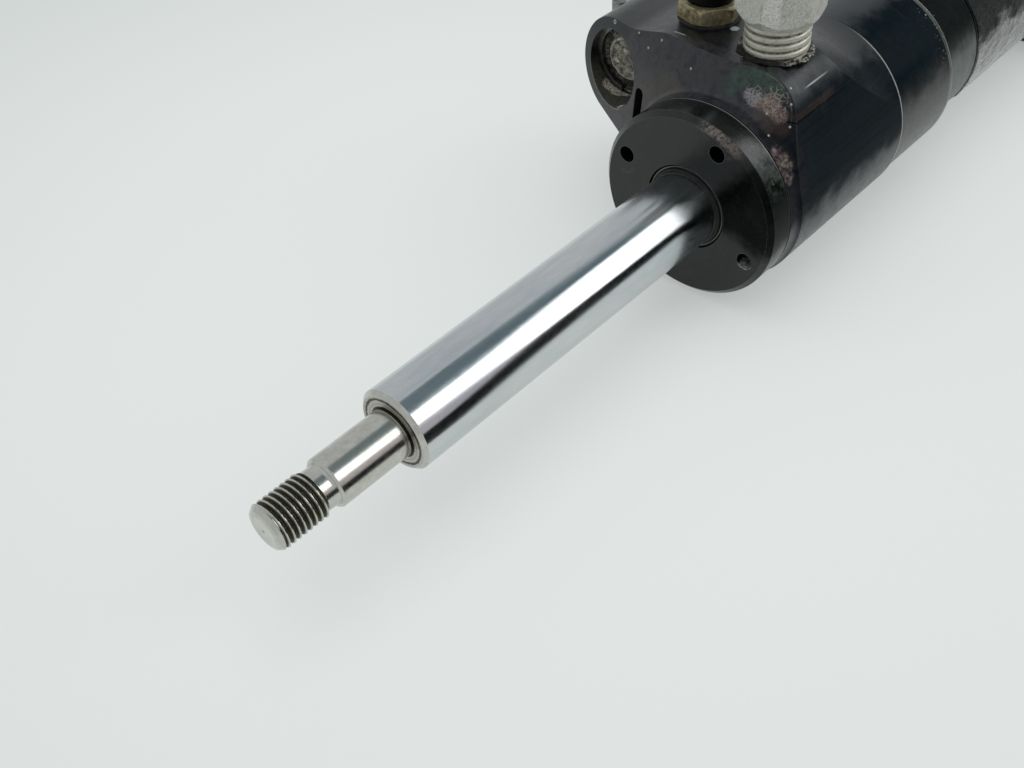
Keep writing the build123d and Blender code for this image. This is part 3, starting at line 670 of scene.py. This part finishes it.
def sealant_finish():
    """Old sealant: sooty and dark, with pale chips towards +Y and a few at the back left."""
    f = Finish("old_sealant", Metallic=0.0, Specular_IOR_Level=0.3)
    _, turn = f.around_adapter()
    coarse = f.noise(0.8, 6, 0.8)
    fine = f.noise(0.2, 4, 0.75)
    f.colour = f.ramp(coarse, (0.36, (0.0018, 0.0018, 0.0015)), (0.62, (0.012, 0.01, 0.007)))
    chips = f.times(f.levels(coarse, 0.5, 0.56), f.levels(fine, 0.36, 0.46))
    chips = f.times(chips, f.most(f.band(turn, 0.9, 2.3, 0.3), f.band(turn, -1.7, -1.1, 0.2)))
    f.lay(f.ramp(fine, (0.4, (0.3, 0.27, 0.2)), (0.6, (0.62, 0.6, 0.52))), chips)
    f.relief(f.plus(coarse, f.times(fine, 0.5)), 0.2)
    return f.paint(f.levels(fine, 0.3, 0.7, 0.35, 0.7))


def plug_finish():
    """Corroded plug deep in the lug: pale crust in rings, over dark grey metal."""
    f = Finish("corroded_plug", Metallic=0.35)
    radius, _ = f.polar(lug_y, lug_z)
    crust = f.noise(1.3, 6, 0.78, distortion=0.5)
    fine = f.noise(0.3, 4, 0.75)
    f.colour = f.ramp(
        crust, (0.36, (0.03, 0.027, 0.02)), (0.48, (0.16, 0.15, 0.12)), (0.6, (0.46, 0.43, 0.36)),
        (0.7, (0.7, 0.67, 0.58)),
    )
    rim = f.band(radius, 5.0, 5.8, 0.2)
    f.lay((0.55, 0.54, 0.5), rim, f.levels(fine, 0.35, 0.6))
    # The outer step, next to the bore's wall, is painted near-black: painted shade in the bore's corner
    outer = f.levels(radius, 5.9, 6.3)
    f.lay((0.01, 0.01, 0.009), outer, f.levels(crust, 0.4, 0.66, 0.95, 0.6))
    f.relief(f.plus(crust, f.times(fine, 0.5)), 0.22)
    return f.paint(f.levels(fine, 0.3, 0.7, 0.45, 0.75))


# ---- mesh work
def soften(outline, radius, steps=4):
    """Round the corners of a profile of (station, radius) points with small arcs; its two ends stay."""
    points = [Vector(p) for p in outline]
    result = [points[0]]
    for before, corner, after in zip(points, points[1:], points[2:]):
        inward, outward = before - corner, after - corner
        reach = min(radius, inward.length * 0.45, outward.length * 0.45)
        start = corner + inward.normalized() * reach
        end = corner + outward.normalized() * reach
        for i in range(steps + 1):
            t = i / steps
            result.append(start * (1 - t) ** 2 + corner * 2 * t * (1 - t) + end * t**2)
    result.append(points[-1])
    return [tuple(p) for p in result]


def divided(outline, step):
    """The same profile with points no further apart than step."""
    result = [outline[0]]
    for a, b in zip(outline, outline[1:]):
        count = max(1, math.ceil(math.dist(a, b) / step))
        result += [tuple(a[k] + (b[k] - a[k]) * i / count for k in (0, 1)) for i in range(1, count + 1)]
    return result


def add_object(name, verts, faces, *materials):
    """A new mesh object from points in metres."""
    mesh = bpy.data.meshes.new(name)
    mesh.from_pydata(verts, [], faces)
    for material in materials:
        mesh.materials.append(material)
    added = bpy.data.objects.new(name, mesh)
    bpy.context.scene.collection.objects.link(added)
    return added


def finish_mesh(mesh):
    """Turn every face outwards and shade all but the sharp edges smooth."""
    mesh.validate()
    work = bmesh.new()
    work.from_mesh(mesh)
    bmesh.ops.recalc_face_normals(work, faces=work.faces)
    work.to_mesh(mesh)
    work.free()
    mesh.shade_smooth()
    mesh.set_sharp_from_angle(angle=SHARP_EDGE)


def turned_piece(
    name, outline, materials, axes=AXIS_X, origin=(0, 0, 0), count=144, shape=None, paint=None
):
    """A solid turned about an axis, from (station, radius) points.

    An outline that starts and ends on the axis is a solid bar; any other is closed into a ring.
    shape(angle, station, radius) gives each point's (station, radius), and paint(station, radius) its
    material's number.
    """
    along, side, up = axes
    base = Vector(origin)
    solid = outline[0][1] == 0 and outline[-1][1] == 0
    verts, rings = [], []
    for station, radius in outline:
        if radius == 0:
            verts.append((base + along * station) * MM)
            rings.append([len(verts) - 1] * count)
            continue
        rings.append(range(len(verts), len(verts) + count))
        for k in range(count):
            angle = math.tau * k / count
            s, r = shape(angle, station, radius) if shape else (station, radius)
            verts.append((base + along * s + (side * math.cos(angle) + up * math.sin(angle)) * r) * MM)
    faces, slots = [], []
    pairs = list(zip(range(len(rings)), range(1, len(rings))))
    if not solid:
        pairs.append((len(rings) - 1, 0))
    for i, j in pairs:
        middle = [(outline[i][k] + outline[j][k]) / 2 for k in (0, 1)]
        slot = paint(*middle) if paint else 0
        for k in range(count):
            m = (k + 1) % count
            face = [rings[i][k], rings[i][m], rings[j][m], rings[j][k]]
            faces.append([v for n, v in enumerate(face) if v not in face[:n]])
            slots.append(slot)
    piece = add_object(name, verts, faces, *materials)
    piece.data.polygons.foreach_set("material_index", slots)
    finish_mesh(piece.data)
    return piece


def stand_for(piece, node, body="barrel"):
    """Show a piece in place of a CAD node, moving with that node's body."""
    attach(piece, body)
    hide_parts(node)


def hexagon(apothem, turn, chamfer_from, round_off=0.985):
    """A shape that trims rings beyond chamfer_from to a hexagon, with a corner at the angle turn."""
    corner = apothem / math.cos(math.pi / 6) * round_off

    def trim(angle, station, radius):
        if radius < chamfer_from:
            return station, radius
        wrapped = (angle - turn) % (math.pi / 3) - math.pi / 6
        return station, min(radius, apothem / math.cos(wrapped), corner)

    return trim


# ---- the pieces that replace CAD nodes
def make_rod():
    """Chromed rod with its turned spigot and a real M10 x 1.25 helix on its tip."""
    low, high = box("piston_rod")
    rod_radius = high.z
    tail, tip = low.x, high.x
    shoulder = tip - 30.7
    spigot_end = tip - 14.0
    thread_start = tip - 10.8
    piston_front = tail + 30.0
    piston_rear = tail + 10.0
    crest, root, pitch = 4.95, 4.2, 1.25
    spigot, neck = 5.3, 4.4
    back = [
        (tail, 0), (tail, 4.2), (tail + 0.8, 5.0), (piston_rear, 5.0), (piston_rear, 6.0),
        (piston_front, 6.0), (piston_front, rod_radius), (shoulder - 0.9, rod_radius),
        (shoulder - 0.1, rod_radius - 0.8), (shoulder, rod_radius - 1.0),
        (shoulder - 0.15, rod_radius - 1.35), (shoulder - 0.15, spigot + 0.1), (shoulder + 0.35, spigot),
        (spigot_end - 0.5, spigot), (spigot_end, spigot - 0.45), (spigot_end - 0.12, neck + 0.1),
        (spigot_end + 0.5, neck - 0.1), (thread_start - 0.6, neck),
    ]
    thread = divided([(thread_start - 0.6, neck), (tip - 1.4, crest)], 0.06)
    nose = [(tip - 1.4, crest), (tip - 0.35, 4.15), (tip - 0.1, 3.85), (tip, 3.4)]
    nose = divided(nose, 0.06)[1:]
    face = [(tip, 2.9), (tip - 0.03, 2.6), (tip - 0.05, 1.2), (tip - 0.05, 0)]

    def helix(angle, station, radius):
        if station < thread_start - 0.6 or radius < 3.6:
            return station, radius
        envelope = min(
            crest, neck + max(0.0, station - thread_start + 0.5) * 1.1,
            3.5 + min(max(0.0, tip - station) * 2.6, 0.5 + max(0.0, tip - station) * 0.7),
        )
        phase = ((station - tip) / pitch - angle / math.tau) % 1.0
        flank = min(max(abs(phase - 0.5) * 2 - 0.07, 0.0) / 0.83, 1.0)
        flank *= min(1.0, max(0.0, (tip - 0.95 - station) / 0.5))
        return station, max(min(envelope, crest - (crest - root) * flank), min(envelope, root))

    def paint(station, radius):
        if station > thread_start - 0.5:
            return 3 if station < tip - 1.35 else 4
        if station > spigot_end - 0.02:
            return 5 if radius > neck + 0.02 else 4
        if shoulder - 0.85 < station < shoulder + 0.05 and radius > rod_radius - 0.95:
            return 4
        if radius > spigot + 0.02 and station > shoulder - 0.3:
            return 1
        return 2 if station > shoulder else 0

    rod = turned_piece(
        "chromed_rod", soften(back, 0.07) + thread[1:] + nose + face,
        [
            chrome_finish(), shoulder_finish(), turned_steel_finish("turned_spigot", 0.0, 1.0),
            turned_steel_finish("cut_thread", 4.6, 4.84, 0.2),
            turned_steel_finish("turned_nose", 0.0, 0.5, 0.2),
            turned_steel_finish("grimy_step", 4.62, 4.74),
        ],
        shape=helix, paint=paint,
    )
    stand_for(rod, "piston_rod", "rod")


def make_adapter():
    """Pale hex adapter on a coarse helix, with a plain female port on top."""
    low, high = box("port_adapter")
    foot, top = low.z, high.z
    thread_top = top - 14.0
    crest, root, pitch = 7.2, 6.7, 1.8

    def shape(angle, station, radius):
        if station < thread_top - 0.02 and radius > 7.0 and station > port_face:
            phase = (station / pitch - angle / math.tau) % 1.0
            wave = 0.5 + 0.5 * math.cos(math.tau * phase)
            run_in = min(1.0, max(0.0, (thread_top - station) / 0.9))
            ripple = noise.noise(Vector((math.cos(angle) * 3, math.sin(angle) * 3, station))) * 0.06
            return station, crest - (crest - root) * (wave**3.2) * run_in - abs(ripple)
        return trim(angle, station, radius)

    def paint(station, radius):
        return 1 if port_face < station < thread_top and radius > 7 else 0

    trim = hexagon(8.5, math.radians(8), 7.9)
    shaft = divided([(port_face + 0.05, 7.2), (thread_top - 0.02, 7.2)], 0.08)
    hex_side = divided([(thread_top, 7.7), (thread_top + 2.8, 9.85), (top - 1.0, 9.9), (top, 8.4)], 0.12)
    base = [(foot, 3.2), (foot, 6.2), (foot + 0.4, 6.6), (port_face - 0.02, 6.6)]
    port = [(top, 6.4), (top - 0.5, 5.9), (top - 11.0, 5.9), (top - 11.6, 3.2)]
    finishes = [adapter_finish(), adapter_thread_finish(root, crest - 0.12)]
    adapter = turned_piece(
        "hex_adapter", base + shaft + hex_side + port, finishes, AXIS_Z, adapter_axis, 180, shape, paint
    )
    stand_for(adapter, "port_adapter")


def make_sealant():
    """Dried sealant round the adapter's thread: low and black, with a few pale chips on the +Y side."""

    def crumble(angle, station, radius):
        spot = Vector((math.cos(angle) * 4.0, math.sin(angle) * 4.0, station * 1.6))
        lump = noise.fractal(spot, 0.8, 2.2, 4)
        spread = max(0.0, radius - 7.25)
        height = max(0.0, station - port_face - 0.05)
        return port_face + 0.03 + height * (0.45 + 0.5 * abs(lump)), 7.25 + spread * (0.9 + 0.4 * lump)

    outline = divided(
        [
            (port_face + 0.03, 7.25), (port_face + 0.03, 8.5), (port_face + 0.45, 8.2),
            (port_face + 0.85, 7.6), (port_face + 0.95, 7.25),
        ],
        0.12,
    )
    finishes = [sealant_finish()]
    ring = turned_piece("old_sealant_ring", outline, finishes, AXIS_Z, adapter_axis, 220, crumble)
    stand_for(ring, "thread_sealant")


def make_fitting():
    """Brass hex of the push-in fitting, with the chamfers that a turned hex bar has."""
    low, high = box("fitting_hex")
    sleeve_low, sleeve_high = box("fitting_sleeve")
    axis_x, axis_y = (sleeve_low.x + sleeve_high.x) / 2, (sleeve_low.y + sleeve_high.y) / 2
    hex_foot = box("fitting_washer")[1].z + 0.02
    hex_top = sleeve_low.z - 0.05
    outline = divided(
        [
            (low.z, 2.0), (low.z, 4.5), (low.z + 0.3, 4.8), (hex_foot, 4.8), (hex_foot, 6.6),
            (hex_foot + 0.5, 7.6), (hex_top - 0.55, 7.6), (hex_top, 6.4), (hex_top, 4.8), (high.z, 4.8),
            (high.z, 2.0),
        ],
        0.15,
    )
    finish = brass_finish("dull_brass", (0.50, 0.43, 0.26), (0.24, 0.205, 0.12), (0.055, 0.048, 0.026))
    piece = turned_piece(
        "brass_fitting", outline, [finish], AXIS_Z, (axis_x, axis_y, 0), 144,
        hexagon(6.5, math.radians(20), 6.25),
    )
    stand_for(piece, "fitting_hex")


def make_lug_plug():
    """Corroded plug seen deep in the lug bore."""
    low, high = box("lug_plug")
    edge = high.y - lug_y
    rear, front = low.x, high.x
    step = front - 1.2

    def pitted(angle, station, radius):
        if station < step - 0.3:
            return station, radius
        spot = Vector((math.cos(angle), math.sin(angle), 0)) * (radius * 0.55)
        pit = noise.fractal(spot, 0.9, 2.1, 5)
        return station - (0.22 + 0.22 * max(-1.0, min(1.0, pit))), radius

    outline = divided(
        soften(
            [
                (rear, 0), (rear, edge - 0.3), (rear + 0.3, edge), (rear + 1.4, edge),
                (rear + 1.4, edge - 1.65), (rear + 3.6, edge - 1.65), (rear + 3.6, edge),
                (step - 0.3, edge), (step, edge - 0.3), (step, 5.9), (front - 0.1, 5.4), (front, 4.8),
                (front - 0.35, 4.4), (front - 0.3, 0),
            ],
            0.15,
        ),
        0.18,
    )
    plug = turned_piece("corroded_plug", outline, [plug_finish()], AXIS_X, (0, lug_y, lug_z), 144, pitted)
    stand_for(plug, "lug_plug")


def make_valve_spring():
    """Coil spring of the check valve, built at one length; the real spring shortens towards its plug end
    as the poppet lifts.
    """
    low, high = box("valve_spring")
    axis = (low + high) / 2
    length = high.x - low.x
    wire = 0.6
    coil = high.z - axis.z - wire
    rise = length - 2.1 * wire
    sweep = 4 * math.tau
    steps, sides = 240, 14
    verts, faces = [], []
    for step in range(steps + 1):
        angle = sweep * step / steps
        out = Vector((0, math.cos(angle), math.sin(angle)))
        along = Vector((rise, -out.z * coil * sweep, out.y * coil * sweep)).normalized()
        across = along.cross(out)
        centre = Vector((low.x + 1.05 * wire + rise * step / steps, axis.y, axis.z)) + out * coil
        for side in range(sides):
            turn = math.tau * side / sides
            verts.append((centre + (out * math.cos(turn) + across * math.sin(turn)) * wire * 0.99) * MM)
    for near in range(0, steps * sides, sides):
        for side in range(sides):
            after = (side + 1) % sides
            faces.append((near + side, near + after, near + sides + after, near + sides + side))
    faces += [range(sides), range(steps * sides, (steps + 1) * sides)]
    finish = metal_finish("oiled_coil_steel", (0.20, 0.19, 0.18), (0.07, 0.06, 0.05), (0.28, 0.45))
    spring = add_object("poppet_spring", verts, faces, finish)
    finish_mesh(spring.data)
    stand_for(spring, "valve_spring")
    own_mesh(spring)


def make_tape():
    """Wrinkled clear film wound round the barrel."""
    low, high = box("tape_band")
    inner = box("barrel_tube")[1].z + 0.03
    outer = high.z
    room = outer - inner - 0.12

    def wrinkle(angle, station, radius):
        if radius < inner + 0.02:
            return station, radius
        spot = Vector((station * 0.16, math.cos(angle) * 7.0, math.sin(angle) * 7.0))
        fold = 1.0 - abs(noise.fractal(spot, 0.9, 2.3, 4))
        ragged = noise.noise(Vector((math.cos(angle) * 4, math.sin(angle) * 4, 7.0))) * 0.5
        at_end = min(station - low.x, high.x - station) < 0.6
        lift = inner + 0.1 + room * max(0.0, min(1.0, fold)) ** 3
        if at_end:
            middle = (low.x + high.x) / 2
            station += math.copysign(abs(ragged), middle - station)
        return station, lift

    outline = [(low.x, inner)] + divided([(low.x + 0.02, outer), (high.x - 0.02, outer)], 0.35) + [
        (high.x, inner)
    ]
    film = turned_piece("wound_film", outline, [film_finish()], AXIS_X, (0, 0, 0), 300, wrinkle)
    stand_for(film, "tape_band")


# ---- finishes of the CAD nodes
def dress_cad_nodes():
    """Give every CAD node its own procedural finish."""
    collar = plain_oxide_finish(
        "collar_black", (0.001, 0.005, 0.0078), (0.003, 0.0085, 0.012), (0.007, 0.009, 0.0105),
        (0.22, 0.34), (0.034, 0.033, 0.03),
    )
    barrel = plain_oxide_finish(
        "barrel_black", (0.0015, 0.0032, 0.0036), (0.0045, 0.007, 0.0065), (0.008, 0.012, 0.009),
        (0.26, 0.4), (0.075, 0.09, 0.078),
    )
    cap = plain_oxide_finish(
        "cap_black", (0.003, 0.0045, 0.0055), (0.008, 0.0105, 0.012), (0.016, 0.014, 0.013), (0.3, 0.46),
        (0.03, 0.029, 0.026), 0.1,
    )
    steel = metal_finish("machined_steel", (0.55, 0.55, 0.54), (0.36, 0.35, 0.33), (0.25, 0.4))
    spring = metal_finish("oiled_spring_steel", (0.20, 0.19, 0.18), (0.07, 0.06, 0.05), (0.28, 0.45))
    case = metal_finish(
        "wiper_case_steel", (0.16, 0.155, 0.135), (0.07, 0.068, 0.058), (0.34, 0.5), metallic=0.8
    )
    screw = metal_finish("dull_screw_steel", (0.30, 0.31, 0.30), (0.12, 0.12, 0.115), (0.36, 0.52))
    washer = metal_finish(
        "dirty_washer", (0.035, 0.034, 0.03), (0.006, 0.006, 0.005), (0.45, 0.65), metallic=0.3
    )
    alloy = metal_finish("turned_alloy", (0.72, 0.73, 0.74), (0.58, 0.59, 0.60), (0.22, 0.36))
    bronze = brass_finish("sintered_bronze", (0.60, 0.42, 0.22), (0.42, 0.28, 0.14), (0.16, 0.10, 0.05))
    nitrile = moulded_finish("black_nitrile", (0.004, 0.004, 0.004), (0.020, 0.020, 0.019), (0.45, 0.7))
    urethane = moulded_finish("dark_urethane", (0.020, 0.024, 0.040), (0.05, 0.055, 0.07), (0.3, 0.5))
    polymer = moulded_finish(
        "black_polymer", (0.0015, 0.0015, 0.0016), (0.008, 0.008, 0.0075), (0.36, 0.5), 0.3, 0.03
    )
    polymer.node_tree.nodes["Principled BSDF"].inputs["Specular IOR Level"].default_value = 0.08
    ptfe = moulded_finish("filled_ptfe", (0.62, 0.60, 0.54), (0.72, 0.70, 0.66), (0.35, 0.5))
    finishes = {
        gland_finish(): ["gland"],
        head_finish(): ["head_block"],
        collar: ["collar_ring"],
        barrel: ["barrel_tube"],
        cap: ["rear_cap"],
        steel: ["piston_nut", "valve_poppet", "fitting_grab_ring"],
        spring: ["lug_snap_ring", "valve_spring"],
        case: ["wiper_case"],
        screw: ["bleed_screw"],
        washer: ["fitting_washer"],
        alloy: ["piston"],
        bronze: ["eye_bush", "guide_ring", "valve_seat"],
        nitrile: [
            "wiper_lip", "gland_orings", "tube_oring", "piston_oring", "rear_cap_oring",
            "fitting_tube_seal", "plug_oring",
        ],
        urethane: ["rod_seal", "piston_seal"],
        polymer: ["fitting_sleeve", "release_collar"],
        ptfe: ["backup_ring", "wear_rings"],
    }
    for material, names in finishes.items():
        for name in names:
            mesh = nodes[name].data
            mesh.materials.clear()
            mesh.materials.append(material)


# ---- studio
def stage_material(name, colour, glow=0.0):
    f = Finish(name, Roughness=0.9, Specular_IOR_Level=0.0)
    f.colour = f.mix(f.levels(f.noise(350, 3, 0.5), 0.3, 0.7), [c * 0.985 for c in colour], colour)
    if glow:
        f.shader.inputs["Emission Color"].default_value = (*colour, 1)
        f.shader.inputs["Emission Strength"].default_value = glow
    return f.paint()


def floor_material():
    """Pale floor with a painted glow that lifts the shade round the object, and a painted pool of light
    that makes it brightest near the head.
    """
    f = Finish("pale_floor", Roughness=0.9, Specular_IOR_Level=0.2)
    cloud = f.noise(350, 3, 0.5)
    # Painted pool of light: the floor is paler and glows more near the head
    near = f.spot((220, -30, cad_low.z / MM), 200, 140)
    f.colour = f.mix(near, (0.375, 0.39, 0.385), (0.46, 0.475, 0.465))
    f.lay((0.4, 0.4, 0.4), f.levels(cloud, 0.3, 0.7, 0.0, 0.03))
    f.link(f.mix(near, (0.76, 0.80, 0.785), (0.95, 0.985, 0.965)), f.shader.inputs["Emission Color"])
    f.shader.inputs["Emission Strength"].default_value = 0.38
    return f.paint()


def reflector(name, reach, material, rows):
    """A curved screen beside the rod, seen in reflections only.

    Each row is (x, low, high): seen in the rod at station x, it fills the angles from low to high in
    degrees about the axis, from +Y towards +Z, `reach` metres away.
    """
    eye = Vector(camera_place)
    rod_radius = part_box("piston_rod")[1].z
    verts = []
    for x, low, high in rows:
        for k in range(7):
            leaving = math.radians(low + (high - low) * k / 6)
            lean = math.atan2(eye.z, eye.y)
            for _ in range(4):
                across, up = eye.y - rod_radius * math.cos(lean), eye.z - rod_radius * math.sin(lean)
                lean = (math.atan2(up, across) + leaving) / 2
            y, z = rod_radius * math.cos(lean), rod_radius * math.sin(lean)
            slope = (x - eye.x) / math.hypot(eye.y - y, eye.z - z)
            verts.append(
                (x + slope * reach, y + math.cos(leaving) * reach, z + math.sin(leaving) * reach)
            )
    starts = [7 * row + k for row in range(len(rows) - 1) for k in range(6)]
    faces = [(start, start + 1, start + 8, start + 7) for start in starts]
    screen = add_object(name, verts, faces, material)
    screen.visible_camera = False
    screen.visible_diffuse = False
    screen.visible_shadow = False
    screen.visible_transmission = False


def area_light(name, centre, target, width, height, turn, radiance, colour=(1, 1, 1)):
    data = bpy.data.lights.new(name, "AREA")
    data.shape = "RECTANGLE"
    data.size, data.size_y = width, height
    data.energy = radiance * math.pi * width * height
    data.color = colour
    lamp = bpy.data.objects.new(name, data)
    lamp.location = centre
    lamp.rotation_mode = "QUATERNION"
    aim = (Vector(target) - Vector(centre)).to_track_quat("-Z", "Y")
    lamp.rotation_quaternion = aim @ Quaternion((0, 0, 1), math.radians(turn))
    bpy.context.scene.collection.objects.link(lamp)
    lamp.visible_camera = False


def towards(azimuth, elevation, distance, centre):
    """The point at a distance from centre, with azimuth from +X towards +Y, in degrees."""
    a, e = math.radians(azimuth), math.radians(elevation)
    return Vector(centre) + Vector(
        (math.cos(a) * math.cos(e), math.sin(a) * math.cos(e), math.sin(e))
    ) * distance


def make_studio():
    scene = bpy.context.scene
    middle = Vector((0.25, 0.0, 0.0))
    # Floor
    far = FLOOR_REACH
    corners = [(x, y, cad_low.z) for x, y in ((-far, -far), (far, -far), (far, far), (-far, far))]
    add_object("floor", corners, [(0, 1, 2, 3)], floor_material())
    # Sky: even, pale and slightly cool
    world = bpy.data.worlds.new("studio")
    world.use_nodes = True
    world.node_tree.nodes["Background"].inputs["Color"].default_value = (0.95, 0.985, 1.0, 1)
    world.node_tree.nodes["Background"].inputs["Strength"].default_value = 0.64
    scene.world = world
    # Window on the +Y side: a weak lamp for its light, and a glowing pane for its reflection in the rod
    area_light("window_light", towards(131, 33, 0.85, middle), middle, 0.34, 0.77, 14, 1.3)
    bpy.data.objects["window_light"].visible_glossy = False
    pane = stage_material("window_pane", (0.86, 0.88, 0.88), glow=2.6)
    # Broad soft light overhead
    area_light("overhead", (0.24, -0.05, 1.1), middle, 1.0, 1.0, 0, 1.0)
    bpy.data.objects["overhead"].visible_glossy = False
    # Dark surroundings, seen only in reflections: a ceiling above the window, a black strip below it
    black = stage_material("dark_room", (0.004, 0.005, 0.005))
    dim = stage_material("dim_room", (0.12, 0.155, 0.17), glow=0.8)
    dusk = stage_material("dusk_room", (0.36, 0.32, 0.34), glow=0.9)
    # At x: the angles where the low strip starts and ends, the window starts and ends, the ceiling ends
    seen = (
        (0.345, -22, 6, 30, 62, 98), (0.305, -27, 2, 29, 56, 98), (0.29, -28, 3, 25, 57, 98),
        (0.265, -15, 17, 17, 65, 95), (0.245, -10, 16, 16, 72, 91), (0.225, -7, 15, 15, 65, 84),
        (0.205, 1, 24, 24, 70, 84), (0.15, 1, 24, 24, 74, 88),
    )
    for name, reach, material, start in (
        ("window", 0.85, pane, 3), ("ceiling", 0.87, dim, 4), ("low_strip", 0.045, black, 1),
    ):
        reflector(name, reach, material, [(row[0], row[start], row[start + 1]) for row in seen])
    reflector("dusk", 0.80, dusk, [(0.345, 6, 30), (0.305, 2, 29), (0.290, 2, 25), (0.272, 13, 19)])
    # Camera
    data = bpy.data.cameras.new("camera")
    data.lens = 39.875
    data.sensor_width = 36.0
    data.clip_start, data.clip_end = 0.01, 20.0
    camera = bpy.data.objects.new("camera", data)
    camera.location = camera_place
    camera.rotation_mode = "QUATERNION"
    aim = (Vector((0.2723, 0.0086, 0.0)) - camera.location).to_track_quat("-Z", "Y")
    camera.rotation_quaternion = aim @ Quaternion((0, 0, 1), math.radians(-4.75))
    scene.collection.objects.link(camera)
    scene.camera = camera
    scene.view_settings.view_transform = "Standard"
    scene.view_settings.look = "None"


make_studio()
dress_cad_nodes()
make_rod()
make_adapter()
make_sealant()
make_fitting()
make_lug_plug()
make_valve_spring()
make_tape()

bpy.context.view_layer.update()
